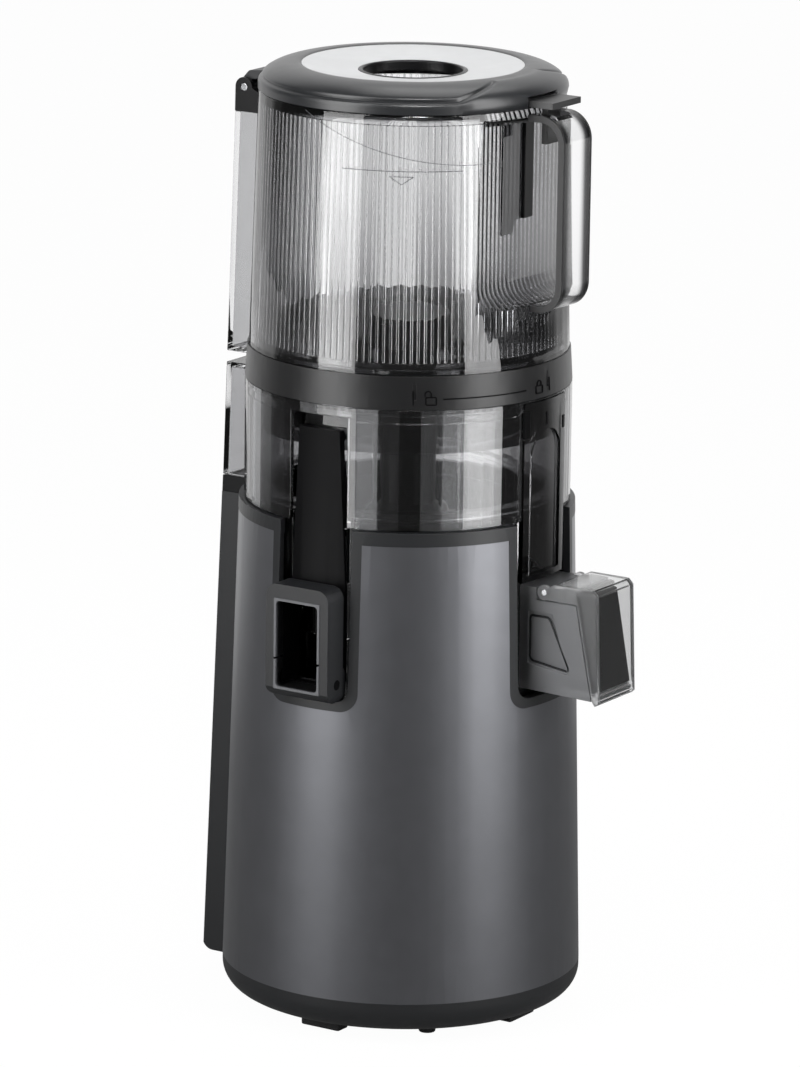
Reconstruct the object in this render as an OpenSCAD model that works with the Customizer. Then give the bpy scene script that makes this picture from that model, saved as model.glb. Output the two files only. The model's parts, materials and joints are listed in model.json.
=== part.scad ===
// Vertical cold press juicer: a round motor base with a rear spine, a faceted
// juicing drum in its top, a large fluted hopper locked on it by a bayonet ring,
// and a hinged lid. Millimetres, +Z up. The origin is on the base's axis at the
// level the feet stand on; the juice spout, handle and latch face -Y, the pulp
// outlet faces -X and the spine stands at +Y.

/* [Base] */
// Radius of the base at the seam with its bottom cap
base_r = 87.1; // [84:0.1:92]
// How much the painted shell narrows up to its top edge
base_taper = 6.3; // [4:0.1:8]
// Height of the painted shell and its trim, from the seam to the top edge
body_h = 229.5; // [222:0.5:245]
// Height of the rounded bottom cap
cap_h = 15.5; // [13:0.5:20]
// Radius of the bottom cap's rounded edge
cap_round = 12; // [6:0.5:12.5]
// Height of the rubber feet under the bottom cap
foot_h = 5.5; // [4:0.5:8]
// Radius of each round foot
foot_r = 4.6; // [3.5:0.1:7]
// How far the round feet stand inside the base's edge
foot_inset = 23.8; // [21:0.1:30]
// Length of each foot pad
pad_l = 22; // [16:0.5:26]
// Wall of the painted shell
shell_wall = 2.6; // [2:0.1:3]
// Width of the dark trim along the slots
trim_w = 4.6; // [3:0.1:6]
// Height of the dark trim along the top edge
trim_h = 6.5; // [4:0.1:9]
// Depth of the well that takes the drum
well_depth = 89.5; // [86:0.5:94]

/* [Spine] */
// Width of the spine and of the columns above it
spine_w = 48; // [40:0.5:56]
// How far the spine stands out behind the shell at the bottom
spine_out_low = 13.4; // [11:0.1:16]
// How far the spine stands out behind the shell at the top
spine_out_top = 10.5; // [9:0.1:13]
// How far the hinge column stands out behind the hopper at the top
column_out = 12.4; // [11:0.1:15]
// Wall of the spine and the columns
column_wall = 2.2; // [1.6:0.1:3]
// Height of the power switch's middle above the table
switch_z = 78; // [65:0.5:110]
// Height of the cord gland above the table
gland_z = 38; // [32:0.5:45]
// Bore of the cord gland
gland_bore = 7.2; // [6:0.1:9]

/* [Drum] */
// How far the drum's facets stand inside the base's top edge
drum_inset = 2.3; // [1.5:0.1:3.5]
// Height of the drum that shows above the base
drum_h = 58; // [50:0.5:70]
// Number of facets round the drum and the hopper
facets = 48; // [36:12:60]
// Wall of the drum
drum_wall_t = 2.6; // [2:0.1:3.2]
// Half width of the window in front of the pulp chute
pulp_window = 16; // [13:0.5:17]
// Half width of the slot for the pulp outlet
pulp_slot = 20.4; // [19.5:0.1:24]
// Half width of the slot for the juice spout
juice_slot = 23.6; // [23.6:0.1:27]
// Half width of the dark panel in the drum's front
panel_half = 17.8; // [15:0.1:20]
// Radius of the slots' lower corners
slot_round = 7; // [3:0.5:9]

/* [Juice spout] */
// Width of the spout and its cap
spout_w = 33.6; // [28:0.2:38]
// How far the spout's cap reaches out from the drum
spout_out = 39.5; // [36:0.5:45]
// How far the cap's hinge stands out from the drum
cap_hinge_out = 10.3; // [8.5:0.1:11.5]
// Wall of the spout and the cap
spout_wall = 1.9; // [1.5:0.1:2.4]
// Radius of the cap's hinge pin
spout_pin_r = 1.5; // [1:0.1:1.8]

/* [Pulp outlet] */
// Half width of the lever's frame
lever_half = 17.6; // [16.5:0.1:18.4]
// How far the frame's face stands out from the drum
lever_out = 15.5; // [13.5:0.1:18.5]
// Height of the frame
lever_h = 55.8; // [48:0.1:60]
// Radius of the lever's pivot pins
lever_pin_r = 2.5; // [1.8:0.1:3]

/* [Hopper] */
// Height of the hopper above the locking ring
hopper_h = 122.5; // [100:0.5:140]
// How much the hopper narrows up to its rim
hopper_taper = 3.6; // [2:0.1:6]
// Wall of the hopper
hopper_wall_t = 2.4; // [1.8:0.1:3]
// Height of the locking ring
ring_h = 16; // [14:0.5:20]
// Depth of the recess behind the handle, at the hopper's foot
recess_depth = 13.5; // [11:0.1:17]
// Width of the handle
handle_w = 24.8; // [20:0.2:32]
// How far the handle's grip stands out from the hopper's foot
handle_out = 15.6; // [12:0.1:20]
// Thickness of the handle's strap
handle_t = 3.2; // [2.4:0.1:4]
// Outer radius of the handle's bends
handle_bend = 13; // [9:0.5:16]
// Angle the hopper turns from locked to open
unlock_turn = 55; // [40:1:60]

/* [Lid] */
// Height of the lid's dome above its edge
lid_h = 11; // [8:0.5:14]
// Width of the lid's dome, from its edge in to the dished top panel
dome_w = 18.5; // [13:0.5:25]
// Radius of the feed hole
feed_r = 23.7; // [20:0.1:28]
// Thickness of the lid's mouldings
lid_t = 2.2; // [1.6:0.1:2.6]
// Height of the lid's hinge pin below the hopper's rim
hinge_drop = 4.2; // [4:0.1:6]
// Radius of the lid's hinge pin
hinge_pin_r = 2; // [1.5:0.1:2.4]
// Width of the latch tab
latch_w = 25; // [20:0.5:30]
// How far the latch tab reaches out from the lid's edge
latch_out = 12.5; // [9.5:0.5:16.5]

/* [Drive] */
// Teeth of the small gears
pinion_teeth = 12; // [12:1:14]
// Teeth of the first large gear
first_teeth = 68; // [60:1:68]
// Teeth of the output gear
output_teeth = 54; // [48:1:56]
// Module of the first pair of gears
first_module = 1; // [0.9:0.05:1]
// Module of the second pair of gears
second_module = 1.25; // [1.1:0.05:1.25]
// Radius of the motor's can
motor_r = 38; // [34:0.5:40]
// Room under the motor for its fan
motor_room = 28; // [27:1:45]
// Distance between the drive shaft's flats
hex_flats = 14; // [12:0.5:15]
// Radius of the auger's neck
auger_neck = 14.5; // [12.5:0.5:18]

/* [Hidden] */
$fn = 72;

// Colours
painted = "#4b4d52";
matte = "#3a3b3e";
black = "#141416";
smoked = [0.35, 0.36, 0.38, 0.45];
clear = [0.85, 0.87, 0.9, 0.35];
rubber = "#1c1c1d";
steel = "#a9abad";

// Clearances: between bodies that move past each other, on a running pin or
// shaft, and between a lifted part and its seat
gap = 0.4;
pin_gap = 0.05;
seat_gap = 0.3;
// Overlap of a cutter past the face it cuts
eps = 0.5;
far = 500;

// Levels, from the table upwards
seam_z = foot_h + cap_h;
body_top = seam_z + body_h;
deck_z = body_top - well_depth;
drum_step = body_top + 0.6;
drum_top = drum_step + drum_h;
ring_low = drum_top + seat_gap;
ring_top = ring_low + ring_h;
hopper_top = ring_top + hopper_h;
lid_low = hopper_top + seat_gap;
lid_edge_h = 1.8;
lid_top = lid_low + lid_edge_h + lid_h;

// Radii that follow one another up the stack
base_top_r = base_r - base_taper;
drum_r = base_top_r - drum_inset;
ring_r = drum_r;
foot_ring = base_r - foot_inset;
hopper_low_r = drum_r - 1.6;
hopper_top_r = hopper_low_r - hopper_taper;
well_r = base_top_r - 4.2;
recess_flat = hopper_low_r - recess_depth;
handle_reach = hopper_low_r + handle_out;
well_wall = 1.3;
cap_wall = 2.5;
well_top = body_top - trim_h - 1;
drum_low_r = well_r - 0.8;
neck_r = drum_r - 5.6;
neck_wall = 2.2;
neck_h = 22;
lug_r = drum_r - drum_wall_t - 0.9;
lug_spread = 20;
ledge_spread = 96;
ledge_turn = -28;

// Radius of the painted shell and of the hopper at a height
function shell_r(z) = base_r - base_taper * (z - seam_z) / body_h;
function hopper_r(z) = hopper_low_r - hopper_taper * (z - ring_top) / hopper_h;

// Distance of the spine's and columns' back face from the axis at a height
spine_low_y = base_r + spine_out_low;
spine_top_y = base_top_r + spine_out_top;
column_top = hopper_top - 16;
column_top_y = hopper_top_r + column_out;
function back_y(z) = z < body_top
  ? spine_low_y + (spine_top_y - spine_low_y) * (z - seam_z) / body_h
  : spine_top_y + (column_top_y - spine_top_y) * (z - body_top) / (column_top - body_top);

// Switch, cord gland, circuit board and screws
screw_ring = foot_ring - 13.3;
board_x = [29.1 - base_r, 69.1 - base_r];
board_y = [-42, -12];
board_z = foot_h + 8;
gland_r = gland_bore / 2 + 2.6;
bezel_w = 20;
bezel_h = 30;
bezel_seat_y = back_y(switch_z + bezel_h / 2) - 1;
rocker_w = 12;
rocker_h = 22;
rocker_pin_r = 1.5;
rocker_y = bezel_seat_y - 2.5;

// Slots: floors of the openings that the trim lines
pulp_floor = deck_z + 6;
juice_floor = deck_z + 4.5;

// Juice spout, in the plane across the axis: distance forward and height
spout_low = deck_z + 9;
spout_top = deck_z + 59.5;
cap_hinge_z = spout_top - 2.2;
spout_reach = drum_r + spout_out;
cap_hinge_y = drum_r + cap_hinge_out;
mouth_top_y = spout_reach - 12.5;
mouth_low_y = spout_reach - 3.4;
cap_top = spout_top + 2.4;
cap_t = 1.9;
cap_ear_r = 3.6;
ear_gap = 0.3;
spout_ear_t = 2;
spout_in = spout_w / 2 - spout_ear_t - ear_gap - spout_wall;

// Pulp outlet
lever_face = drum_r + lever_out;
lever_low = deck_z + 6.7;
lever_top = lever_low + lever_h;
lever_side = 1.9;
lever_pin_x = lever_face - 8.2;
lever_pin_z = lever_low + 9;
lever_arc = 9;
arch_h = 27;
chute_half = lever_half - lever_side - gap;
outlet_half = chute_half - 3.6;
outlet_low = lever_low + 6;
outlet_top = lever_top - 8;
liner_half = outlet_half + 1.2;
chute_face = lever_face - 6;
ear_r = 4.8;
tongue = lever_pin_x - 4.2;

// Gear train: the layshaft stands behind the output axis, the motor beside it
second_centre = second_module * (pinion_teeth + output_teeth) / 2;
first_centre = first_module * (pinion_teeth + first_teeth) / 2;
motor_angle = -60;
lay_pos = [0, second_centre];
motor_pos = lay_pos + first_centre * [cos(motor_angle), sin(motor_angle)];
gearbox_r = 38.5;
gearbox_wall = 2;
gearbox_low = deck_z - 48;
plate_z = gearbox_low + 14;
plate_t = 2.4;
gearbox_top = deck_z - 13;
gearbox_lid_t = 4;
well_floor_t = 5;
lay_r = 4;
shaft_r = 8;
motor_shaft_r = 4;
bearing_w = 6;
bearing_r = shaft_r + 5;
lid_posts = [[-30, -8], [30, -8], [-30, lay_pos[1]], [30, lay_pos[1]]];
motor_low = foot_h + cap_wall + motor_room;
motor_h = gearbox_low - motor_low;
motor_wall = 2;
end_room = 14;
winding_t = 14;
air_gap = 0.6;
fan_drop = 12;
fan_r = motor_r - 8;
first_gear_z = gearbox_low + 4;
first_gear_w = 8;
second_gear_z = plate_z + plate_t + 0.8;
second_gear_w = 14;

// Auger and strainer
boss_r = 13;
boss_top = deck_z + 15;
floor_t = 3.5;
strainer_r = drum_low_r - drum_wall_t - 4;
strainer_wall = 3;
strainer_top = body_top + 7.5;
auger_low = boss_top + 1.5;
auger_low_r = strainer_r - strainer_wall - 1.6;
auger_shoulder = body_top - 10;
auger_shoulder_r = 30;
head_low = ring_top - 5;
head_top = ring_top + 12.5;
head_r = 22;
throat_r = head_r + 7;
shaft_top = deck_z + 36;
socket_depth = shaft_top + 1 - auger_low;

// Hopper's recess, lid, latch and hinge
recess_low = ring_top + 29.5;
latch_slot_w = 13;
lid_r = hopper_top_r + 0.2;
dish_r = lid_r - dome_w;
latch_reach = lid_r + latch_out;
hinge_y = hopper_top_r + 7.4;
hinge_z = hopper_top - hinge_drop;
knuckle_r = 4.8;
knuckle_half = spine_w / 2 - 4.8;
latch_z = lid_low + 3.2;
latch_pin_r = 1.2;
latch_pin_y = lid_r - 2.2;
latch_t = 3;

// ---------- shared shapes ----------

// Rectangle between two corners, plain or with round corners
module rect(x0, z0, x1, z1) {
  translate([x0, z0]) square([x1 - x0, z1 - z0]);
}

module round_rect(x0, z0, x1, z1, r) {
  rect(x0 + r, z0, x1 - r, z1);
  rect(x0, z0 + r, x1, z1 - r);
  for (x = [x0 + r, x1 - r], z = [z0 + r, z1 - r]) translate([x, z]) circle(r);
}

// Upright outline, across and height, pushed out from the axis to the front or left
module to_front(length) {
  rotate([90, 0, 0]) linear_extrude(length) children();
}

module to_left(length) {
  rotate([0, 0, -90]) to_front(length) children();
}

// Side outline, depth and height, spread evenly to both sides
module across(width) {
  translate([-width / 2, 0, 0]) rotate([90, 0, 90]) linear_extrude(width) children();
}

// Side outline of a left-hand part, distance left and height, spread evenly in Y
module across_left(width) {
  rotate([0, 0, 90]) across(width) children();
}

module tube(outer, inner, z0, z1) {
  translate([0, 0, z0]) difference() {
    cylinder(r = outer, h = z1 - z0);
    translate([0, 0, -eps]) cylinder(r = inner, h = z1 - z0 + 2 * eps);
  }
}

// Solid of the base's tapered outline, less an even wall, between two heights
module base_cone(inset, z0, z1) {
  translate([0, 0, z0])
    cylinder(r1 = shell_r(z0) - inset, r2 = shell_r(z1) - inset, h = z1 - z0);
}

// Prism with flat facets round the axis
module facet_prism(r, z0, z1) {
  translate([0, 0, z0]) linear_extrude(z1 - z0)
    polygon([for (i = [0:facets - 1]) r * [cos(i * 360 / facets), sin(i * 360 / facets)]]);
}

// Arc of a ring with a rectangular section
module ring_arc(outer, inner, z0, z1, middle, spread) {
  rotate([0, 0, middle - spread / 2])
    rotate_extrude(angle = spread) rect(inner, z0, outer, z1);
}

// Spur gear: teeth whose flanks are involutes of a base circle
function inv_angle(a) = tan(a) * 180 / PI - a;
function tooth_half(r, rb, pitch_half) = pitch_half + inv_angle(20) - inv_angle(acos(min(1, rb / r)));
function gear_points(teeth, mod, tip, backlash = 0.07) =
  let (
    rp = mod * teeth / 2,
    rb = rp * cos(20),
    ra = rp + tip * mod,
    rf = rp - 1.3 * mod,
    r0 = max(rb, rf),
    half = 90 / teeth - backlash / rp * 180 / PI,
    steps = 3
  )
  [for (i = [0:teeth - 1])
    let (c = i * 360 / teeth)
    each concat(
      [[rf, c - tooth_half(r0, rb, half)]],
      [for (k = [0:steps]) let (r = r0 + (ra - r0) * k / steps) [r, c - tooth_half(r, rb, half)]],
      [for (k = [steps:-1:0]) let (r = r0 + (ra - r0) * k / steps) [r, c + tooth_half(r, rb, half)]],
      [[rf, c + tooth_half(r0, rb, half)]]
    )];

module gear(teeth, mod, tip, width, bore) {
  difference() {
    linear_extrude(width)
      polygon([for (p = gear_points(teeth, mod, tip)) p[0] * [cos(p[1]), sin(p[1])]]);
    translate([0, 0, -eps]) cylinder(r = bore, h = width + 2 * eps);
  }
}

// Slot outline open at the top, with round lower corners
module slot_outline(half, floor_z, r) {
  round_rect(-half, floor_z, half, body_top + 40, r);
}

module pulp_slot_cut(grow) {
  to_left(far) slot_outline(pulp_slot + grow, pulp_floor - grow, slot_round + grow / 2);
}

module juice_slot_cut(grow) {
  to_front(far) slot_outline(juice_slot + grow, juice_floor - grow, slot_round + grow / 2);
}

// ---------- base ----------

// Painted outer shell, open at the bottom, with two slots from its top edge
module body_shell() {
  color(painted) difference() {
    base_cone(0, seam_z, body_top - trim_h);
    translate([0, 0, -0.01]) base_cone(shell_wall, seam_z, body_top - trim_h + 0.02);
    pulp_slot_cut(trim_w);
    juice_slot_cut(trim_w);
    translate([0, base_r, switch_z]) cube([20, 40, 30], center = true);
    translate([0, base_r, gland_z]) rotate([90, 0, 0]) cylinder(r = 7, h = 40, center = true);
  }
}

// Dark trim that lines the shell's top edge and both slots
module body_trim() {
  color(matte) difference() {
    base_cone(-0.15, juice_floor - trim_w, body_top);
    translate([0, 0, -0.01]) base_cone(4, juice_floor - trim_w - 0.1, body_top + 0.2);
    difference() {
      translate([0, 0, juice_floor - trim_w - eps])
        cylinder(r = base_r + 10, h = body_top - trim_h - juice_floor + trim_w + eps);
      pulp_slot_cut(trim_w);
      juice_slot_cut(trim_w);
    }
    translate([0, 0, deck_z - 20]) cylinder(r = well_r + well_wall, h = well_top - deck_z + 20);
    pulp_slot_cut(0);
    juice_slot_cut(0);
  }
}

// Black cup inside the shell that the drum drops into; its floor carries the gearbox
module drum_well() {
  color(black) difference() {
    union() {
      tube(well_r + well_wall, well_r, deck_z - well_floor_t, well_top);
      translate([0, 0, deck_z - well_floor_t]) cylinder(r = well_r + 1, h = well_floor_t);
      difference() {
        base_cone(shell_wall, deck_z - well_floor_t, deck_z - 1);
        translate([0, 0, deck_z - well_floor_t - eps]) cylinder(r = well_r + 0.5, h = well_floor_t + eps);
      }
    }
    pulp_slot_cut(1);
    juice_slot_cut(1);
    translate([0, 0, deck_z - far / 2]) cylinder(r = boss_r + 1, h = far);
  }
}

// Rounded bottom cap with air slots in its floor and pillars for the circuit board
module base_cap() {
  floor_top = foot_h + cap_wall;
  color(matte) difference() {
    union() {
      rotate_extrude() difference() {
        cap_outline(0, 0);
        cap_outline(cap_wall, -1);
      }
      for (x = board_x, y = board_y) translate([x, y, floor_top - 0.5])
        cylinder(r = 3, h = board_z - floor_top + 0.5);
    }
    for (i = [0:11]) rotate([0, 0, i * 30 + 15])
      translate([26, -1.5, foot_h - 1]) cube([18, 3, cap_wall + 2]);
    for (a = [45:90:315]) rotate([0, 0, a]) translate([screw_ring, 0, foot_h - 1]) cylinder(r = 1.8, h = 6);
  }
}

// Half section of the bottom cap, or of its inside
module cap_outline(inset, x0) {
  edge = base_r - cap_round;
  rect(x0, foot_h + inset, edge, seam_z + inset);
  rect(x0, foot_h + cap_round, base_r - inset, seam_z + inset);
  intersection() {
    translate([edge, foot_h + cap_round]) circle(cap_round - inset);
    rect(edge - 1, foot_h, base_r, foot_h + cap_round + 1);
  }
}

// Round rubber feet on the diagonals
module round_feet() {
  color(rubber) for (a = [45:90:315]) rotate([0, 0, a])
    translate([foot_ring, 0, 0]) cylinder(r1 = foot_r - 0.6, r2 = foot_r, h = foot_h);
}

// Rubber pads at the front, back and sides
module foot_pads() {
  color(rubber) for (a = [0:90:270]) rotate([0, 0, a]) linear_extrude(foot_h)
    round_rect(foot_ring - 1.3, -pad_l / 2, foot_ring + 7.7, pad_l / 2, 1.5);
}

// Side outline of the spine or of a column between two heights
module back_outline(z0, z1, y0, inset) {
  polygon([[y0, z0], [back_y(z0) - inset, z0], [back_y(z1) - inset, z1], [y0, z1]]);
}

// Hollow column behind the base that carries the switch and the wiring
module rear_spine() {
  low = foot_h + 4.5;
  color(matte) difference() {
    union() {
      across(spine_w) back_outline(seam_z, body_top - trim_h, base_top_r - 6, 0);
      across(spine_w) intersection() {
        back_outline(low, seam_z, base_r - cap_round, 0);
        round_rect(base_r - 30, low, spine_low_y + 1, seam_z + 30, 6);
      }
    }
    across(spine_w - 2 * column_wall)
      back_outline(low + column_wall, body_top - trim_h - column_wall, base_top_r - 10, column_wall);
    base_cone(0, seam_z, body_top);
    translate([0, 0, foot_h - 1]) cylinder(r = base_r, h = cap_h + 1);
    switch_hole();
    translate([0, base_r - 10, gland_z]) rotate([-90, 0, 0]) cylinder(r = gland_r, h = far);
  }
}

module switch_hole() {
  translate([-bezel_w / 2, base_r - 20, switch_z - bezel_h / 2]) cube([bezel_w, 60, bezel_h]);
  translate([-bezel_w / 2 - 2, bezel_seat_y, switch_z - bezel_h / 2 - 2])
    cube([bezel_w + 4, 30, bezel_h + 4]);
}

// Dark cap on top of the spine that the drum's column stands over
module spine_cap() {
  color(black) difference() {
    across(spine_w) back_outline(body_top - trim_h, drum_step + 1, base_top_r - 6, 0);
    across(spine_w - 2 * column_wall)
      back_outline(body_top - trim_h - 1, drum_step - 1.5, base_top_r - 10, column_wall);
    base_cone(-0.15, seam_z, body_top);
    translate([0, 0, body_top - 0.1]) cylinder(r = drum_r + gap, h = 10);
  }
}

// Silicone seal round the drive shaft, in the well's floor
module shaft_seal() {
  color(rubber) tube(boss_r + 1, shaft_r + pin_gap, deck_z - well_floor_t, deck_z - 0.5);
}

// Outline round both gears of the gearbox
module gearbox_outline(r) {
  circle(r);
  translate(lay_pos) circle(r);
  rect(-r, 0, r, lay_pos[1]);
}

// Open gear case that the motor hangs from
module gearbox_base() {
  color(steel) difference() {
    union() {
      translate([0, 0, gearbox_low]) linear_extrude(gearbox_top - gearbox_low) gearbox_outline(gearbox_r);
      translate([motor_pos[0], motor_pos[1], gearbox_low]) cylinder(r = motor_shaft_r + 8, h = 3);
    }
    translate([0, 0, gearbox_low + 3]) linear_extrude(far) gearbox_outline(gearbox_r - gearbox_wall);
    translate([lay_pos[0], lay_pos[1], gearbox_low - eps]) cylinder(r = lay_r + pin_gap, h = 10);
    translate([motor_pos[0], motor_pos[1], gearbox_low - eps]) cylinder(r = motor_shaft_r + 4, h = 10);
  }
}

// Steel plate between the two pairs of gears, with the output shaft's lower journal
module gearbox_plate() {
  color(steel) translate([0, 0, plate_z]) difference() {
    linear_extrude(plate_t) gearbox_outline(gearbox_r - gearbox_wall);
    translate([lay_pos[0], lay_pos[1], -eps])
      cylinder(r = second_module * (pinion_teeth / 2 + 1) + 1, h = plate_t + 2 * eps);
    translate([0, 0, -eps]) cylinder(r = shaft_r / 2 + pin_gap, h = plate_t + 2 * eps);
  }
}

// Gear case lid with posts up to the well's floor
module gearbox_lid() {
  color(steel) difference() {
    union() {
      translate([0, 0, gearbox_top]) linear_extrude(gearbox_lid_t) gearbox_outline(gearbox_r);
      for (p = lid_posts) translate([p[0], p[1], gearbox_top])
        cylinder(r = 4, h = deck_z - well_floor_t - gearbox_top);
      translate([0, 0, gearbox_top]) cylinder(r = bearing_r + 3, h = deck_z - well_floor_t - gearbox_top);
    }
    translate([0, 0, gearbox_top - eps]) cylinder(r = bearing_r, h = 20);
    translate([lay_pos[0], lay_pos[1], gearbox_top - eps]) cylinder(r = lay_r + pin_gap, h = 20);
  }
}

// Bearing of the drive shaft, in the gear case lid
module output_bearing() {
  color(steel) tube(bearing_r, shaft_r + pin_gap, gearbox_top, deck_z - well_floor_t);
}

module at_motor() {
  translate([motor_pos[0], motor_pos[1], 0]) children();
}

// Motor housing, screwed under the gear case
module motor_can() {
  color(steel) at_motor() difference() {
    translate([0, 0, motor_low]) cylinder(r = motor_r, h = motor_h);
    translate([0, 0, motor_low + 3]) cylinder(r = motor_r - motor_wall, h = motor_h - 6);
    translate([0, 0, motor_low - eps]) cylinder(r = motor_shaft_r + 4, h = motor_h + 2 * eps);
  }
}

// Wound stator, a tight fit in the housing
module motor_stator() {
  outer = motor_r - motor_wall;
  color("#7a4a2a") at_motor() tube(outer, outer - winding_t, motor_low + end_room, gearbox_low - end_room);
}

// Bearings at both ends of the motor shaft
module motor_bearings() {
  color(steel) at_motor() {
    tube(motor_shaft_r + 4, motor_shaft_r + pin_gap, motor_low, motor_low + bearing_w);
    tube(motor_shaft_r + 4, motor_shaft_r + pin_gap, gearbox_low - bearing_w + 3, gearbox_low + 3);
  }
}

// Motor control board on the bottom cap's pillars
module control_board() {
  color("#1f5a3a") {
    translate([board_x[0] - 4, board_y[0] - 4, board_z])
      cube([board_x[1] - board_x[0] + 8, board_y[1] - board_y[0] + 8, 1.6]);
    translate([board_x[0] + 8, board_y[0] + 6, board_z + 1.6]) cube([14, 18, 6]);
    for (i = [0:2]) translate([board_x[1] - 4, board_y[0] + 4 + i * 11, board_z + 1.6])
      cylinder(r = 3.5, h = 5);
  }
}

// Frame of the power switch, with side bearings for the rocker
module switch_bezel() {
  color(black) difference() {
    union() {
      translate([-bezel_w / 2, rocker_y - 7, switch_z - bezel_h / 2])
        cube([bezel_w, bezel_seat_y - rocker_y + 7, bezel_h]);
      translate([-bezel_w / 2 - 2, bezel_seat_y, switch_z - bezel_h / 2 - 2])
        cube([bezel_w + 4, 2, bezel_h + 4]);
    }
    translate([0, rocker_y, switch_z]) cube([rocker_w + 0.6, 40, rocker_h + 1.6], center = true);
    translate([0, rocker_y, switch_z]) rotate([0, 90, 0])
      cylinder(r = rocker_pin_r + pin_gap, h = rocker_w + 4.2, center = true);
  }
}

// Contact block behind the power switch
module switch_box() {
  color(black) translate([-bezel_w / 2, rocker_y - 16, switch_z - bezel_h / 2])
    cube([bezel_w, 9, bezel_h]);
}

// Three-position rocker: a shallow V seen from the side, on two small pins
module power_rocker() {
  color(black) translate([0, rocker_y, switch_z]) {
    across(rocker_w) polygon([
      [-3, -rocker_h / 2 + 2], [2.6, -rocker_h / 2], [5.6, -rocker_h / 2],
      [4.4, 0], [5.6, rocker_h / 2], [2.6, rocker_h / 2], [-3, rocker_h / 2 - 2]
    ]);
    rotate([0, 90, 0]) cylinder(r = rocker_pin_r, h = rocker_w + 4, center = true);
  }
}

// Bush that the mains lead passes through
module cord_gland() {
  y0 = back_y(gland_z) - 6;
  color(black) translate([0, y0, gland_z]) rotate([-90, 0, 0]) difference() {
    union() {
      cylinder(r = gland_r, h = 7.5);
      translate([0, 0, 6.4]) cylinder(r = gland_r + 1.6, h = 1.6);
    }
    translate([0, 0, -eps]) cylinder(r = gland_bore / 2, h = 10);
  }
}

// Screws through the bottom cap
module base_screws() {
  color(steel) for (a = [45:90:315]) rotate([0, 0, a]) translate([screw_ring, 0, foot_h]) {
    cylinder(r = 1.75, h = 6.5);
    translate([0, 0, 2.5]) cylinder(r = 3.4, h = 1.5);
  }
}

// Reed sensor under the spine's cap, below the magnet in the column
module reed_sensor() {
  color(steel) translate([-8, spine_top_y - column_wall - 4, drum_step - 1.5 - 4]) cube([16, 4, 4]);
}

// ---------- drive ----------

// Rotor core and its shaft
module motor_rotor() {
  color(steel) at_motor() {
    translate([0, 0, motor_low + end_room + 2])
      cylinder(r = motor_r - motor_wall - winding_t - air_gap, h = motor_h - 2 * end_room - 4);
    translate([0, 0, motor_low - fan_drop - 2])
      cylinder(r = motor_shaft_r, h = first_gear_z + first_gear_w - motor_low + fan_drop + 2);
  }
}

// Small gear at the shaft's end
module motor_pinion() {
  color(steel) translate([motor_pos[0], motor_pos[1], first_gear_z]) rotate([0, 0, motor_angle + 180])
    gear(pinion_teeth, first_module, 1, first_gear_w, motor_shaft_r);
}

// Fan below the motor
module cooling_fan() {
  color(black) translate([motor_pos[0], motor_pos[1], motor_low - fan_drop]) {
    tube(motor_shaft_r + 4, motor_shaft_r, 0, fan_drop - 4);
    tube(fan_r, motor_shaft_r + 3.5, 0, 1.4);
    for (i = [0:8]) rotate([0, 0, i * 40])
      translate([motor_shaft_r + 3.5, -0.8, 1]) cube([fan_r - 4, 1.6, fan_drop - 5]);
  }
}

module at_lay() {
  translate([lay_pos[0], lay_pos[1], 0]) children();
}

// Shaft with the second pair's small gear cut on it
module layshaft() {
  color(steel) at_lay() {
    difference() {
      translate([0, 0, gearbox_low + 0.2])
        cylinder(r = lay_r, h = gearbox_top + gearbox_lid_t - gearbox_low - 0.4);
      translate([0, 0, second_gear_z]) cylinder(r = far, h = second_gear_w);
    }
    translate([0, 0, second_gear_z]) rotate([0, 0, -90]) linear_extrude(second_gear_w)
      polygon([for (p = gear_points(pinion_teeth, second_module, 1)) p[0] * [cos(p[1]), sin(p[1])]]);
  }
}

// First large gear, pressed on the layshaft
module layshaft_gear() {
  color("#d8d4c4") at_lay() translate([0, 0, first_gear_z]) rotate([0, 0, motor_angle + 180 / first_teeth])
    gear(first_teeth, first_module, 0.75, first_gear_w, lay_r);
}

// Large gear on the drive shaft
module output_gear() {
  color("#d8d4c4") translate([0, 0, second_gear_z]) rotate([0, 0, 90 + 180 / output_teeth])
    gear(output_teeth, second_module, 0.75, second_gear_w, shaft_r);
}

// Hexagonal prism with a given distance between its flats
module hex(flats, z0, z1) {
  translate([0, 0, z0]) cylinder(r = flats / sqrt(3), h = z1 - z0, $fn = 6);
}

// Drive shaft: round in its bearings, six-sided inside the auger
module drive_shaft() {
  color(steel) {
    translate([0, 0, plate_z + 0.2]) cylinder(r = shaft_r / 2, h = second_gear_z - plate_z);
    translate([0, 0, second_gear_z]) cylinder(r = shaft_r, h = deck_z + 1 - second_gear_z);
    hex(hex_flats, deck_z, shaft_top);
  }
}

// ---------- drum ----------

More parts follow.
